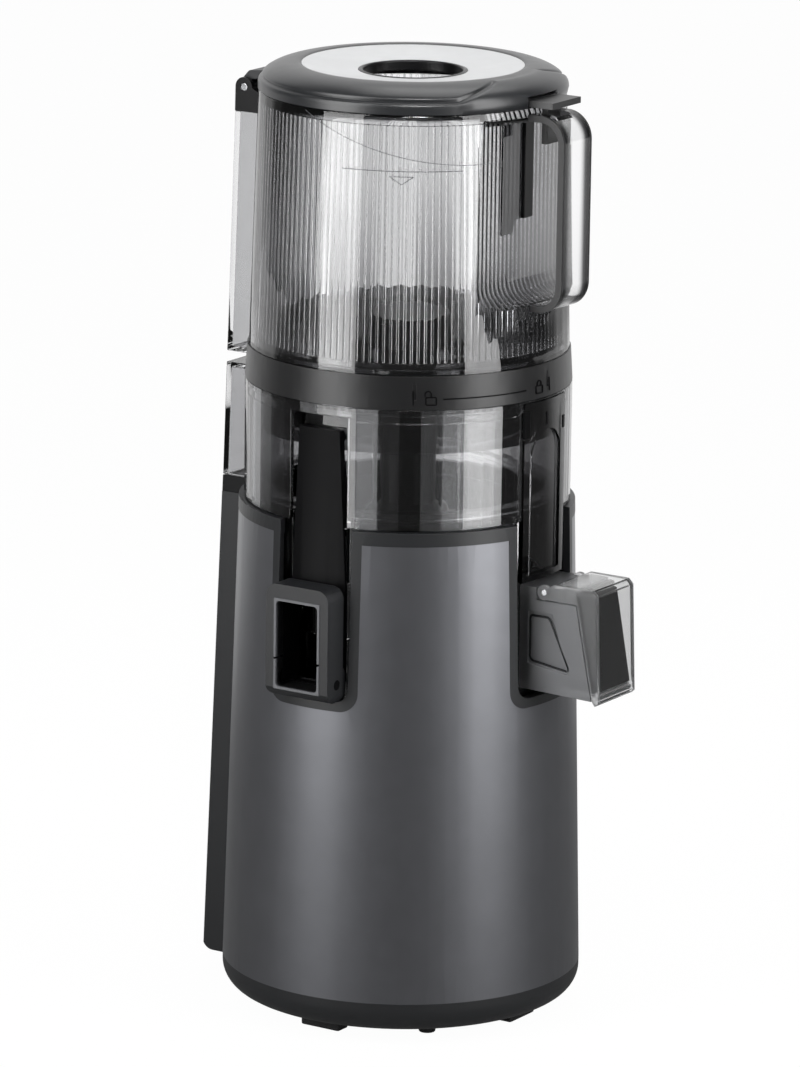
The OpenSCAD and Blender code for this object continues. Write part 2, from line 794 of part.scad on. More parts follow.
// Clear drum: a plain lower part in the well, wide flat facets above it
module drum_wall() {
  inner_low = drum_low_r - drum_wall_t;
  inner_top = drum_r - drum_wall_t - 0.4;
  ledge_z = drum_top - 7;
  color(smoked) difference() {
    union() {
      facet_prism(drum_r, drum_step, drum_top);
      translate([0, 0, deck_z]) cylinder(r = drum_low_r, h = drum_step - deck_z + 1);
    }
    translate([0, 0, deck_z + floor_t]) cylinder(r = inner_low, h = far);
    difference() {
      translate([0, 0, drum_step + 3]) cylinder(r = inner_top, h = far);
      for (i = [0:2])
        ring_arc(drum_r, neck_r + gap, ledge_z, ledge_z + 3.5, lug_angle(i) + ledge_turn, ledge_spread);
    }
    translate([0, 0, deck_z - 1]) cylinder(r = shaft_r + 2.5, h = 20);
    to_left(far) rect(-pulp_window, lever_top, pulp_window, drum_top - 5);
    to_left(far) rect(-outlet_half, outlet_low, outlet_half, outlet_top);
    to_front(far) rect(-panel_half, spout_top + 1, panel_half, drum_top - 1);
    to_front(far) rect(-spout_in, spout_low + 3, spout_in, spout_top - 6);
  }
  color(smoked) tube(boss_r, shaft_r + 2.5, deck_z + floor_t - 0.01, boss_top);
}

function lug_angle(i) = 270 + i * 120;

// Dark panel that fills the drum's front window, with an arched recess
module front_panel() {
  low = spout_top + 1;
  color([0.16, 0.16, 0.17, 0.85]) difference() {
    translate([0, 0, low]) cylinder(r = drum_r + 0.8, h = drum_top - 1 - low);
    translate([0, 0, low - eps]) cylinder(r = drum_r - drum_wall_t - 0.4, h = far);
    translate([-far, 0, 0]) cube([2 * far, far, 2 * far]);
    for (s = [-1, 1]) scale([s, 1, 1]) translate([panel_half - 0.02, -far, 0]) cube([far, 2 * far, 2 * far]);
    difference() {
      to_front(far) union() {
        rect(-panel_half + 5, low + 3, panel_half - 5, drum_top - 1 - arch_h);
        translate([0, drum_top - 1 - arch_h]) circle(panel_half - 5);
      }
      translate([0, 0, low]) cylinder(r = drum_r - 0.8, h = far);
    }
  }
}

// Side outline of the spout: a box whose mouth leans forward
module spout_side(inset, back) {
  polygon([
    [-back, spout_low + inset], [-mouth_low_y - 1.5, spout_low - 1 + inset],
    [-mouth_low_y, spout_low + 6], [-mouth_top_y, spout_top - inset], [-back, spout_top - inset]
  ]);
}

// Juice spout moulded from smoked plastic, with a narrow hinge boss on top
module juice_spout() {
  back = drum_low_r - 0.3;
  color(smoked) difference() {
    union() {
      across(spout_w) intersection() {
        spout_side(0, back);
        union() {
          rect(-far, 0, -back, cap_hinge_z - cap_ear_r - gap);
          rect(-cap_hinge_y + cap_ear_r + gap, 0, -back, far);
        }
      }
      across(spout_w - 2 * (spout_ear_t + ear_gap)) spout_side(0, back);
    }
    across(2 * spout_in) intersection() {
      polygon([
        [-back + 30, spout_low + 3], [-far, spout_low + 1.5],
        [-far, spout_top - 6], [-back + 30, spout_top - 6]
      ]);
      rect(-far, 0, 0, far);
    }
    cylinder(r = drum_low_r, h = drum_step);
    translate([0, -cap_hinge_y, cap_hinge_z]) rotate([0, 90, 0])
      cylinder(r = spout_pin_r, h = far, center = true);
    for (s = [-1, 1]) translate([s * (spout_w / 2 + 0.7), 0, 0]) across(3) polygon([
      [-mouth_top_y + 25, spout_top - 12], [-mouth_top_y + 12, spout_top - 12],
      [-mouth_top_y + 3, spout_low + 10], [-mouth_top_y + 25, spout_low + 13]
    ]);
  }
}

// Steel pin across the spout's hinge boss
module spout_pin() {
  color(steel) translate([0, -cap_hinge_y, cap_hinge_z]) rotate([0, 90, 0])
    cylinder(r = spout_pin_r, h = spout_w - 0.4, center = true);
}

// Black pulp chute: a narrow duct in the window, and a box behind the lever
// whose floor stops short for the lever's tongue
module pulp_chute() {
  color(black) difference() {
    union() {
      to_left(chute_face) round_rect(-chute_half, outlet_low - 1, chute_half, lever_top - 2, 4);
      intersection() {
        to_left(drum_r - 1.2) polygon([
          [-chute_half, lever_top - 6], [chute_half, lever_top - 6],
          [chute_half - 4, drum_top - 12], [-chute_half + 4, drum_top - 12]
        ]);
        cylinder(r = drum_r - 1.2, h = far);
      }
      translate([-lever_pin_x, 0, lever_pin_z]) rotate([90, 0, 0])
        cylinder(r = lever_pin_r, h = 2 * lever_half - 0.2, center = true);
    }
    translate([0, 0, deck_z]) cylinder(r = drum_low_r, h = drum_step - deck_z + 0.8);
    translate([0, 0, drum_step]) cylinder(r = drum_r - drum_wall_t - 2.4, h = far);
    to_left(far) round_rect(-outlet_half, outlet_low, outlet_half, outlet_top, 2);
    across_left(2 * outlet_half) rect(tongue - 1.4, 0, far, outlet_low + 2.5);
  }
}

// Smoked hollow column behind the drum, standing over the spine
module drum_column() {
  color(smoked) difference() {
    across(spine_w) back_outline(drum_step + 1 + gap, drum_top - 0.5, drum_r - 12, 0);
    across(spine_w - 2 * column_wall) back_outline(drum_step, drum_top - 3, drum_r - 15, column_wall);
    facet_prism(drum_r, drum_step - 10, drum_top + 1);
  }
}

// Strainer basket with upright slits
module strainer() {
  color("#5a5b5e") difference() {
    union() {
      tube(strainer_r, strainer_r - strainer_wall, deck_z + floor_t, strainer_top);
      tube(drum_low_r - drum_wall_t - 0.2, strainer_r - strainer_wall, strainer_top - 3, strainer_top);
    }
    for (i = [0:23]) rotate([0, 0, i * 15 + 7.5])
      translate([strainer_r - 8, -1.2, deck_z + floor_t + 10])
        cube([16, 2.4, strainer_top - deck_z - floor_t - 20]);
    to_left(far) rect(-outlet_half, deck_z + floor_t + 3, outlet_half, deck_z + floor_t + 30);
  }
}

// Silicone ring between the strainer's rim and the hopper's neck
module drum_seal() {
  color(rubber) tube(drum_r - drum_wall_t - 0.4, neck_r + gap, drum_top - 2.4, drum_top);
}

// ---------- spout cap ----------

// Clear flip cap: top, front, bottom lip and cheeks ahead of the spout's leaning mouth
module juice_cap() {
  inner_w = spout_w - 2 * cap_t;
  color(clear) difference() {
    union() {
      across(spout_w) cap_side();
      translate([0, -cap_hinge_y, cap_hinge_z]) rotate([0, 90, 0])
        cylinder(r = cap_ear_r, h = spout_w, center = true);
    }
    across(inner_w) polygon([
      [-spout_reach - 2 + cap_t, spout_low + 1.5], [-spout_reach + cap_t, cap_top - 3.5],
      [-spout_reach + 3.5, cap_top - cap_t], [0, cap_top - cap_t], [0, spout_low + 1.5]
    ]);
    across(inner_w) rect(-cap_hinge_y - 5.7, spout_low, 0, cap_top + 5);
    translate([0, -cap_hinge_y, cap_hinge_z]) rotate([0, 90, 0])
      cylinder(r = spout_pin_r + pin_gap, h = far, center = true);
  }
}

// How far the spout's leaning mouth stands from the axis at a height
function mouth_y(z) = mouth_top_y
  + (mouth_low_y - mouth_top_y) * (spout_top - z) / (spout_top - spout_low - 6);

// Side outline of the cap ahead of its ears
module cap_side() {
  cheek_z = cap_hinge_z - cap_ear_r + 0.4;
  polygon([
    [-cap_hinge_y - 2, cheek_z], [-mouth_y(cheek_z) - gap, cheek_z],
    [-mouth_y(spout_low + 6) - gap, spout_low + 6], [-mouth_low_y - gap - 1.6, spout_low - 1],
    [-mouth_low_y - 3.6, spout_low - 3], [-spout_reach - 2, spout_low - 1.5],
    [-spout_reach, cap_top - 2.5], [-spout_reach + 2.5, cap_top],
    [-cap_hinge_y - 5.7, cap_top], [-cap_hinge_y - 2, cap_hinge_z + cap_ear_r - 1]
  ]);
}

// Black silicone plate that closes the spout's mouth
module cap_seal() {
  color(rubber) across(spout_w - 2 * cap_t) polygon([
    [-mouth_top_y - 2 * gap, spout_top - 1.5], [-mouth_low_y - 2 * gap - 0.2, spout_low + 3],
    [-mouth_low_y - 2 * gap - 2, spout_low + 3], [-mouth_top_y - 2 * gap - 2.6, spout_top - 1.5]
  ]);
}

// ---------- pulp lever ----------

// Side outline of the lever: upright frame with its foot round the pivot
module lever_side() {
  intersection() {
    union() {
      rect(lever_pin_x - 5, lever_pin_z, lever_face, lever_top);
      translate([lever_pin_x, lever_pin_z]) circle(lever_arc);
    }
    rect(lever_pin_x - 7, 0, lever_face, far);
  }
}

// Swing-out frame of the pulp outlet, hung on the chute's two pins
module pulp_lever() {
  color(matte) difference() {
    intersection() {
      across_left(2 * lever_half) lever_side();
      to_left(far) round_rect(-lever_half, lever_low - 2, lever_half, lever_top, 6);
    }
    to_left(chute_face + gap) rect(-chute_half - gap, 0, chute_half + gap, lever_top - 1.6);
    to_left(far) rect(-liner_half, outlet_low - 1.2, liner_half, outlet_top + 1.2);
    ear_room();
    translate([-lever_pin_x, 0, lever_pin_z]) rotate([90, 0, 0])
      cylinder(r = lever_pin_r + pin_gap, h = far, center = true);
  }
}

// Room round the pivot for the chute's ears
module ear_room() {
  translate([-lever_pin_x, 0, lever_pin_z]) rotate([90, 0, 0])
    cylinder(r = ear_r + gap, h = 2 * (chute_half + gap), center = true);
}

// Grey liner of the opening, in an upper and a lower piece, with a tongue back
// to the chute's floor
module lever_liner() {
  color(steel) difference() {
    union() {
      difference() {
        translate([-chute_face - gap, 0, 0]) to_left(6)
          rect(-liner_half, outlet_low - 1.2, liner_half, outlet_top + 1.2);
        ear_room();
      }
      across_left(2 * outlet_half - 0.6) rect(tongue, outlet_low - 1, lever_face - 1, outlet_low + 1);
    }
    to_left(far) round_rect(-outlet_half, outlet_low, outlet_half, outlet_top, 2);
    translate([-far, -far, outlet_low + 13]) cube([2 * far, 2 * far, 1.2]);
  }
}

// ---------- auger ----------

// Pressing screw: a cone with two winding flights, and a slim neck above it
module auger() {
  body_h = auger_shoulder - auger_low;
  color("#2a2a2c") difference() {
    union() {
      translate([0, 0, auger_low]) cylinder(r1 = auger_low_r - 7, r2 = auger_shoulder_r - 7, h = body_h);
      translate([0, 0, auger_low])
        linear_extrude(body_h, twist = -330, slices = 36, scale = auger_shoulder_r / auger_low_r)
          square([2 * auger_low_r - 0.6, 7], center = true);
      translate([0, 0, auger_shoulder - 0.01]) cylinder(r1 = auger_shoulder_r - 7, r2 = auger_neck, h = 8);
      translate([0, 0, auger_shoulder]) cylinder(r = auger_neck, h = head_low - auger_shoulder);
    }
    hex(hex_flats + 0.4, auger_low - eps, shaft_top + 1);
    translate([0, 0, auger_low - eps]) cylinder(r = hex_flats / sqrt(3) + 0.5, h = 4);
  }
}

// Cutting head in the hopper: a blunt cone with two wings
module auger_head() {
  color("#2a2a2c") {
    translate([0, 0, head_low]) cylinder(r = auger_neck, h = 5);
    translate([0, 0, head_low + 5]) cylinder(r1 = head_r, r2 = head_r - 4, h = head_top - head_low - 5);
    for (a = [0, 180]) rotate([0, 0, a])
      translate([0, -2.5, head_low + 5]) cube([head_r, 5, head_top - head_low - 7]);
  }
}

// ---------- hopper ----------

// Side outline of what the handle's recess takes away, less a wall
module recess_outline(wall) {
  r = 12;
  low = recess_low - wall;
  flat = -recess_flat + wall;
  difference() {
    rect(-far, low, flat, hopper_top - 6 + wall);
    difference() {
      rect(flat - r, low - 1, flat + 1, low + r);
      translate([flat - r, low + r]) circle(r);
    }
  }
}

// Hopper solid with its recess, less an even wall
module hopper_form(wall) {
  difference() {
    translate([0, 0, ring_top + 2 * wall / hopper_wall_t])
      cylinder(r1 = hopper_low_r - wall, r2 = hopper_top_r - wall, h = hopper_h);
    across(2 * far) recess_outline(wall);
  }
}

// Smoked hopper with a neck and three lugs that lock under the drum's ledges
module hopper_wall() {
  color(smoked) {
    difference() {
      intersection() {
        hopper_form(0);
        translate([0, 0, ring_top]) cylinder(r = far, h = hopper_h);
      }
      hopper_form(hopper_wall_t);
      translate([0, 0, ring_top - eps]) cylinder(r = neck_r - neck_wall, h = 4);
      translate([0, 0, hopper_top - 5]) cylinder(r = hopper_top_r - hopper_wall_t + 0.9, h = 10);
    }
    tube(neck_r, neck_r - neck_wall, ring_low - neck_h, ring_top + 0.01);
    for (i = [0:2]) ring_arc(lug_r, neck_r - 1, drum_top - 12, drum_top - 7.5, lug_angle(i), lug_spread);
  }
}

// Strap handle across the recess
module hopper_handle() {
  low = recess_low - handle_t;
  top = hopper_top - 2.4;
  color(smoked) difference() {
    across(handle_w) difference() {
      round_rect(-handle_reach, low, -20, top, handle_bend);
      round_rect(-handle_reach + handle_t, low + handle_t, -20, top - handle_t, handle_bend - handle_t);
      rect(-recess_flat - 4, 0, 0, far);
    }
    translate([0, 0, ring_top]) cylinder(r1 = hopper_low_r, r2 = hopper_top_r, h = hopper_h);
    translate([-latch_slot_w / 2, -latch_pin_y - 13, top - 10]) cube([latch_slot_w, 13, 20]);
  }
}

// Matte bayonet ring that joins the hopper to the drum
module lock_ring() {
  color(matte) translate([0, 0, ring_low]) difference() {
    cylinder(r1 = ring_r, r2 = ring_r - 1, h = ring_h);
    translate([0, 0, -eps]) cylinder(r = neck_r, h = ring_h + 2 * eps);
    rotate([0, 0, 270]) ring_mark(ring_h - 3.4 - 5.8);
    rotate([0, 0, 270 - unlock_turn]) ring_mark(ring_h - 3.4 - 5.8);
  }
}

// Bar-shaped mark sunk into the ring
module ring_mark(z) {
  translate([ring_r - 0.9, -0.9, z - 2]) cube([3, 1.8, 7.6]);
}

// Smoked funnel in the hopper with a throat for the auger
module hopper_floor() {
  rim_r = hopper_low_r - hopper_wall_t - 0.5;
  color(smoked) rotate_extrude() polygon([
    [rim_r, ring_top + 2.4], [rim_r, ring_top + 5.2],
    [throat_r, ring_top - 3], [throat_r, ring_low + 0.5], [throat_r + 2.5, ring_low + 0.5],
    [throat_r + 2.5, ring_top - 4.5], [rim_r - 6, ring_top + 2.4]
  ]);
}

// Smoked hollow column behind the hopper
module hopper_column() {
  color(smoked) difference() {
    across(spine_w) back_outline(ring_low + 4.6, column_top, hopper_top_r - 14, 0);
    across(spine_w - 2 * column_wall)
      back_outline(ring_low + 4.6 + column_wall, column_top + 1, hopper_top_r - 18, column_wall);
    translate([0, 0, ring_top]) cylinder(r1 = hopper_low_r, r2 = hopper_top_r, h = hopper_h);
    cylinder(r = ring_r, h = ring_top + 0.2);
  }
}

// Dark yoke on the column's top that holds the lid's hinge pin
module hinge_bracket() {
  color(black) difference() {
    union() {
      across(spine_w) polygon([
        [hopper_top_r - 8, column_top], [column_top_y, column_top],
        [hinge_y + knuckle_r, hinge_z], [hinge_y - knuckle_r, hinge_z], [hopper_top_r - 8, column_top + 6]
      ]);
      translate([0, hinge_y, hinge_z]) rotate([0, 90, 0])
        cylinder(r = knuckle_r, h = spine_w, center = true);
    }
    translate([-knuckle_half - gap, 0, hinge_z - knuckle_r - 1.4])
      cube([2 * (knuckle_half + gap), far, 40]);
    translate([0, 0, ring_top]) cylinder(r1 = hopper_low_r, r2 = hopper_top_r, h = hopper_h + 0.01);
    translate([0, hinge_y, hinge_z]) rotate([0, 90, 0]) cylinder(r = hinge_pin_r, h = far, center = true);
  }
}

// Steel pin of the lid's hinge
module hinge_pin() {
  color(steel) translate([0, hinge_y, hinge_z]) rotate([0, 90, 0])
    cylinder(r = hinge_pin_r, h = spine_w - 0.4, center = true);
}

// Dark bar on the flat wall behind the handle that carries the lid sensor's magnet
module sensor_bar() {
  color(black) translate([-4, -recess_flat - 2.6, hopper_top - 54]) cube([8, 2.6, 48]);
}

// Magnet holder at the bottom of the hopper's column
module interlock_magnet() {
  color(black) translate([-3, back_y(ring_top) - column_wall - 5, ring_low + 4.6 + column_wall])
    cube([6, 4, 14]);
}

// ---------- lid ----------

// Half section of the lid's dome: a quarter of an ellipse, less an even wall
module dome_section(inset) {
  edge = lid_low + lid_edge_h + 1.2;
  polygon([
    [0, lid_low - 1], [lid_r - inset, lid_low - 1],
    for (a = [0:7.5:90]) [dish_r + (dome_w - inset) * cos(a), edge + (lid_top - edge - inset) * sin(a)],
    [0, lid_top - inset]
  ]);
}

// Lid shell: a dome from its edge up to the dish, and knuckles behind
module lid_cover() {
  edge = lid_low + lid_edge_h;
  color(matte) difference() {
    union() {
      rotate_extrude() difference() {
        dome_section(0);
        dome_section(lid_t);
        rect(-1, 0, dish_r - 2, far);
        rect(-1, 0, lid_r + 1, lid_low);
      }
      across(2 * knuckle_half) polygon([
        [lid_r - 1.6, lid_low + 0.1], [hinge_y, hinge_z + 1], [hinge_y + knuckle_r - 0.6, hinge_z + 1],
        [hinge_y + 1.6, hinge_z + knuckle_r + 1.6], [lid_r - 3, edge + 2]
      ]);
      translate([0, hinge_y, hinge_z]) rotate([0, 90, 0])
        cylinder(r = knuckle_r, h = 2 * knuckle_half, center = true);
    }
    translate([0, hinge_y, hinge_z]) rotate([0, 90, 0])
      cylinder(r = hinge_pin_r + pin_gap, h = far, center = true);
    translate([0, 0, hopper_top - 20]) cylinder(r = lid_r - 0.01, h = 20 + seat_gap);
    translate([-latch_w / 2 - gap, -far, lid_low - 1])
      cube([latch_w + 2 * gap, far - latch_pin_y + 2.6, 6.6]);
    translate([0, -latch_pin_y, latch_z - 1]) rotate([0, 90, 0])
      cylinder(r = latch_pin_r + pin_gap, h = latch_w + 5, center = true);
  }
}

// Shallow dished panel of the lid
module lid_dish() {
  color("#c9cacc") rotate_extrude() polygon([
    [dish_r - 2, lid_top - 0.4], [feed_r + 2.4, lid_top - 3.4],
    [feed_r + 2.4, lid_top - 5], [dish_r - 2, lid_top - 2.2]
  ]);
}

// Dark collar round the feed hole
module lid_collar() {
  color(black) rotate_extrude() polygon([
    [feed_r, lid_top - 8], [feed_r, lid_top - 3.6], [feed_r + 0.8, lid_top - 3],
    [feed_r + 2.4, lid_top - 3.4], [feed_r + 2.4, lid_top - 8]
  ]);
}

// Silicone ring under the lid that sits inside the hopper's rim
module lid_gasket() {
  outer = hopper_top_r - hopper_wall_t - 2.2;
  color(rubber) rotate_extrude() polygon([
    [outer - 2, hopper_top - 4], [outer, hopper_top - 4], [outer, lid_low + 0.8],
    [outer - 2, lid_low + 1.6], [outer - 2, hopper_top - 3]
  ]);
}

// Sprung latch: a thumb tab over the handle and a finger through its slot
module latch_tab() {
  z = latch_z - 1;
  color(matte) {
    translate([-latch_w / 2, -latch_reach, latch_z - latch_t + 0.6])
      cube([latch_w, latch_reach - latch_pin_y - 2, latch_t]);
    translate([0, -latch_pin_y, z]) rotate([0, 90, 0]) cylinder(r = 2.1, h = latch_w, center = true);
    translate([-latch_w / 2, -latch_pin_y - 3, z - 1.4]) cube([latch_w, 3, 2.8]);
    translate([0, -latch_pin_y, z]) rotate([0, 90, 0])
      cylinder(r = latch_pin_r, h = latch_w + 4.4, center = true);
    translate([-latch_slot_w / 2 + 1, -latch_pin_y - 7.5, hopper_top - 17]) cube([latch_slot_w - 2, 3, 19]);
  }
}

body_shell();
body_trim();
drum_well();
base_cap();
round_feet();
foot_pads();
rear_spine();
spine_cap();
shaft_seal();
gearbox_base();
gearbox_plate();
gearbox_lid();
output_bearing();
motor_can();
motor_stator();
motor_bearings();
control_board();
switch_bezel();
switch_box();
cord_gland();
base_screws();
reed_sensor();
motor_rotor();
motor_pinion();
cooling_fan();
layshaft();
layshaft_gear();
output_gear();
drive_shaft();
power_rocker();
drum_wall();
front_panel();
juice_spout();
spout_pin();
pulp_chute();
drum_column();
strainer();
drum_seal();
juice_cap();
cap_seal();
pulp_lever();
lever_liner();
auger();
auger_head();
hopper_wall();
hopper_handle();
lock_ring();
hopper_floor();
hopper_column();
hinge_bracket();
hinge_pin();
sensor_bar();
interlock_magnet();
lid_cover();
lid_dish();
lid_collar();
lid_gasket();
latch_tab();
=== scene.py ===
import json
import math

import bmesh
import bpy
import numpy as np
from mathutils import Matrix, Vector


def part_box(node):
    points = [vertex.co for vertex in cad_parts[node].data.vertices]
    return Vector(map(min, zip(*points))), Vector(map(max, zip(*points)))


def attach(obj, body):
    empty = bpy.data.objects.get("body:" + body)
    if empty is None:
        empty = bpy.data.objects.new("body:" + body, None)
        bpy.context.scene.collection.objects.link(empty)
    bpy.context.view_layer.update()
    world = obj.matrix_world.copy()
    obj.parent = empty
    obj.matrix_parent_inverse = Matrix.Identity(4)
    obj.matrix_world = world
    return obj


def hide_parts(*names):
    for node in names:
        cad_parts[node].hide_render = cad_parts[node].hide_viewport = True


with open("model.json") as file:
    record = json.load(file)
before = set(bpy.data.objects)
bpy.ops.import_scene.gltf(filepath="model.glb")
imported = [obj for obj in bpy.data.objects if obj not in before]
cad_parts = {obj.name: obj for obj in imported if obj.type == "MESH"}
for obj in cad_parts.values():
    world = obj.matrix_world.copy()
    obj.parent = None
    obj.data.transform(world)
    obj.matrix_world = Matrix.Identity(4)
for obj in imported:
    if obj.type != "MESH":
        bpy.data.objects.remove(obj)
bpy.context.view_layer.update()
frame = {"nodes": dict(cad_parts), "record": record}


# ---- Camera ----
# A long lens at a small downward tilt, off the pulp outlet's side, so that the
# pulp lever, the juice spout and the handle all show.

VIEW_TURN = math.radians(57)        # from straight ahead of the spout round to the lens
VIEW_TILT = math.radians(13.742)
VIEW_ROLL = math.radians(0.788)
VIEW_DISTANCE = 3.224
AIM_HEIGHT = 0.231
AIM_SIDE = -0.00312

level = Vector((-math.sin(VIEW_TURN), -math.cos(VIEW_TURN), 0))
view_right = Vector((math.cos(VIEW_TURN), -math.sin(VIEW_TURN), 0))
view_back = level * math.cos(VIEW_TILT) + Vector((0, 0, math.sin(VIEW_TILT)))
view_up = view_back.cross(view_right)
camera_data = bpy.data.cameras.new("camera")
camera_data.sensor_width = 36
camera_data.lens = 225.7
camera_data.clip_end = 30
camera = bpy.data.objects.new("camera", camera_data)
bpy.context.scene.collection.objects.link(camera)
across = view_right * math.cos(VIEW_ROLL) + view_up * math.sin(VIEW_ROLL)
upward = view_up * math.cos(VIEW_ROLL) - view_right * math.sin(VIEW_ROLL)
camera.matrix_world = Matrix.Translation(
    Vector((0, 0, AIM_HEIGHT)) + view_back * VIEW_DISTANCE + view_right * AIM_SIDE
) @ Matrix((across, upward, view_back)).transposed().to_4x4()
bpy.context.scene.camera = camera
bpy.context.scene.view_settings.view_transform = "Standard"


# ---- Studio ----
# A pale table top before a white backdrop in a dim room, two tall soft boxes near the
# front corners, one overhead, and one above the lens. Mirrors show the backdrop behind
# and the dim room in front.

SURROUND_LIGHT = 0.3
ROOM_LIGHT = 0.12
TABLE_GLOW = 0.975
TABLE_MIRRORED = 0.9
TABLE_HALF = 4


class Wire:
    """A socket's output. Sums, products and comparisons on it add Math nodes."""

    def __init__(self, tree, socket):
        self.tree, self.socket = tree, socket

    def math(self, operation, *values):
        node = self.tree.nodes.new("ShaderNodeMath")
        node.operation = operation
        for slot, value in zip(node.inputs, values):
            plug(self.tree, slot, value)
        return Wire(self.tree, node.outputs[0])

    def __add__(self, other):
        return self.math("ADD", self, other)

    def __radd__(self, other):
        return self.math("ADD", other, self)

    def __sub__(self, other):
        return self.math("SUBTRACT", self, other)

    def __rsub__(self, other):
        return self.math("SUBTRACT", other, self)

    def __mul__(self, other):
        return self.math("MULTIPLY", self, other)

    def __rmul__(self, other):
        return self.math("MULTIPLY", other, self)

    def __pow__(self, other):
        return self.math("POWER", self, other)

    def __or__(self, other):
        return self.math("MAXIMUM", self, other)


def plug(tree, slot, value):
    """Links a wire into a socket, or sets the socket to a plain value."""
    if isinstance(value, Wire):
        tree.links.new(value.socket, slot)
    else:
        slot.default_value = value


class Finish:
    """A material, or the surround, under construction."""

    def __init__(self, name, owner=None):
        self.owner = owner or bpy.data.materials.new(name)
        self.owner.use_nodes = True
        self.tree = self.owner.node_tree
        self.tree.nodes.clear()

    def add(self, kind, settings, sockets, output=0):
        """One node: its settings first, then its sockets by name or number."""
        node = self.tree.nodes.new("ShaderNode" + kind)
        for key, value in settings.items():
            setattr(node, key, value)
        for key, value in sockets.items():
            plug(self.tree, node.inputs[key], value)
        return Wire(self.tree, node.outputs[output])

    def place(self):
        """Where a point of the surface is on its piece, in metres."""
        return self.add("TexCoord", {}, {}, "Object")

    def grain(self, scale, detail=2.0):
        """Cloudy noise from 0 to 1, with about that many patches to the metre."""
        return self.add("TexNoise", {}, {"Vector": self.place(), "Scale": scale, "Detail": detail})

    def bump(self, height, depth_mm, strength=1.0):
        return self.add("Bump", {}, {"Height": height, "Distance": depth_mm / 1000, "Strength": strength})

    def blend(self, share, one, other):
        """Mixes two colours by a share from 0 to 1."""
        return self.add("Mix", {"data_type": "RGBA"}, {0: share, 6: one, 7: other}, 2)

    def close(self, shader, kind="Material"):
        out = self.tree.nodes.new("ShaderNodeOutput" + kind)
        self.tree.links.new(shader.socket, out.inputs["Surface"])
        return self.owner


def seen(finish):
    """1 for rays that show the surround straight or refracted, and 1 for those mirrored on their way."""
    straight, mirrored, refracted, mirrors, scatters = (
        finish.add("LightPath", {}, {}, name) for name in (
            "Is Camera Ray", "Is Glossy Ray", "Is Transmission Ray", "Glossy Depth", "Diffuse Depth"))
    unmirrored = mirrors.math("LESS_THAN", mirrors, 0.5)
    unscattered = scatters.math("LESS_THAN", scatters, 0.5)
    return (straight | refracted * unmirrored * unscattered,
            (mirrored | refracted) * (1 - unmirrored) * unscattered)


def backdrop(finish, where, start, stop):
    """What a mirror shows: the dim room in front of the object, and the white backdrop behind it."""
    behind = finish.add("VectorMath", {"operation": "DOT_PRODUCT"}, {0: where, 1: tuple(-level)}, "Value")
    return finish.add("MapRange", {"interpolation_type": "SMOOTHSTEP"}, {
        "Value": behind, "From Min": start, "From Max": stop, "To Min": ROOM_LIGHT, "To Max": 1.0})


world = bpy.data.worlds.new("surround")
bpy.context.scene.world = world
air = Finish("surround", world)
shown, mirrored = seen(air)
in_mirror = backdrop(air, air.add("TexCoord", {}, {}, "Generated"), 0.4, 0.8)
air.close(air.add("Background", {}, {
    "Color": (1, 1, 1, 1),
    "Strength": SURROUND_LIGHT + shown * (1 - SURROUND_LIGHT) + mirrored * (in_mirror - SURROUND_LIGHT),
}), "World")

table_mesh = bpy.data.meshes.new("table_top")
table_mesh.from_pydata([(x * TABLE_HALF, y * TABLE_HALF, 0)
                        for x, y in ((-1, -1), (1, -1), (1, 1), (-1, 1))], [], [(0, 1, 2, 3)])
table = bpy.data.objects.new("table_top", table_mesh)
bpy.context.scene.collection.objects.link(table)
pale = Finish("table_top")
shown, mirrored = seen(pale)
lit = pale.add("BsdfDiffuse", {}, {"Color": (0.88, 0.88, 0.88, 1)})
glow = pale.add("Emission", {}, {"Color": (1, 1, 1, 1), "Strength": 1.0})
dull = pale.add("Emission", {}, {"Color": (1, 1, 1, 1), "Strength": backdrop(pale, pale.place(), 0.4, 0.9)})
plain = pale.add("MixShader", {}, {0: shown * TABLE_GLOW, 1: lit, 2: glow})
table_top = pale.add("MixShader", {}, {0: mirrored * TABLE_MIRRORED, 1: plain, 2: dull})
table_mesh.materials.append(pale.close(table_top))


def soft_box(name, turn, distance, height, width, tall, power, aim=0.25, spread=180):
    """A rectangular lamp aimed at a height of the object.

    Turn is its direction round from the lens, and spread how wide it shines, in degrees.
    """
    lamp = bpy.data.lights.new(name, "AREA")
    lamp.shape, lamp.size, lamp.size_y, lamp.energy = "RECTANGLE", width, tall, power
    lamp.spread = math.radians(spread)
    box = bpy.data.objects.new(name, lamp)
    bpy.context.scene.collection.objects.link(box)
    way = level * math.cos(math.radians(turn)) + view_right * math.sin(math.radians(turn))
    spot = way * distance + Vector((0, 0, height))
    facing = (spot - Vector((0, 0, aim))).to_track_quat("Z", "Y").to_matrix().to_4x4()
    box.matrix_world = Matrix.Translation(spot) @ facing
    box.visible_camera = False


soft_box("left_box", -52, 0.62, 0.5, 0.34, 1.0, 5.5)
soft_box("right_box", 52, 0.62, 0.5, 0.34, 1.0, 5.8)
soft_box("top_box", 160, 0.6, 1.9, 1.1, 1.1, 9)
soft_box("high_box", 4, 0.95, 1.25, 0.8, 0.3, 0.6, aim=0.46, spread=24)


# ---- Painted shell ----
# A drawn steel wrap in satin metallic grey, open at the top for the two outlets.
# It has no name or badge on it. Its edges are turned under the dark trim.

def rgb(red, green, blue):
    """A colour from its 0-255 display values."""
    def linear(v):
        return v / 255 / 12.92 if v <= 10 else ((v / 255 + 0.055) / 1.055) ** 2.4
    return (linear(red), linear(green), linear(blue), 1)


def shade(colour, factor):
    return tuple(min(1, c * factor) for c in colour[:3]) + (1,)


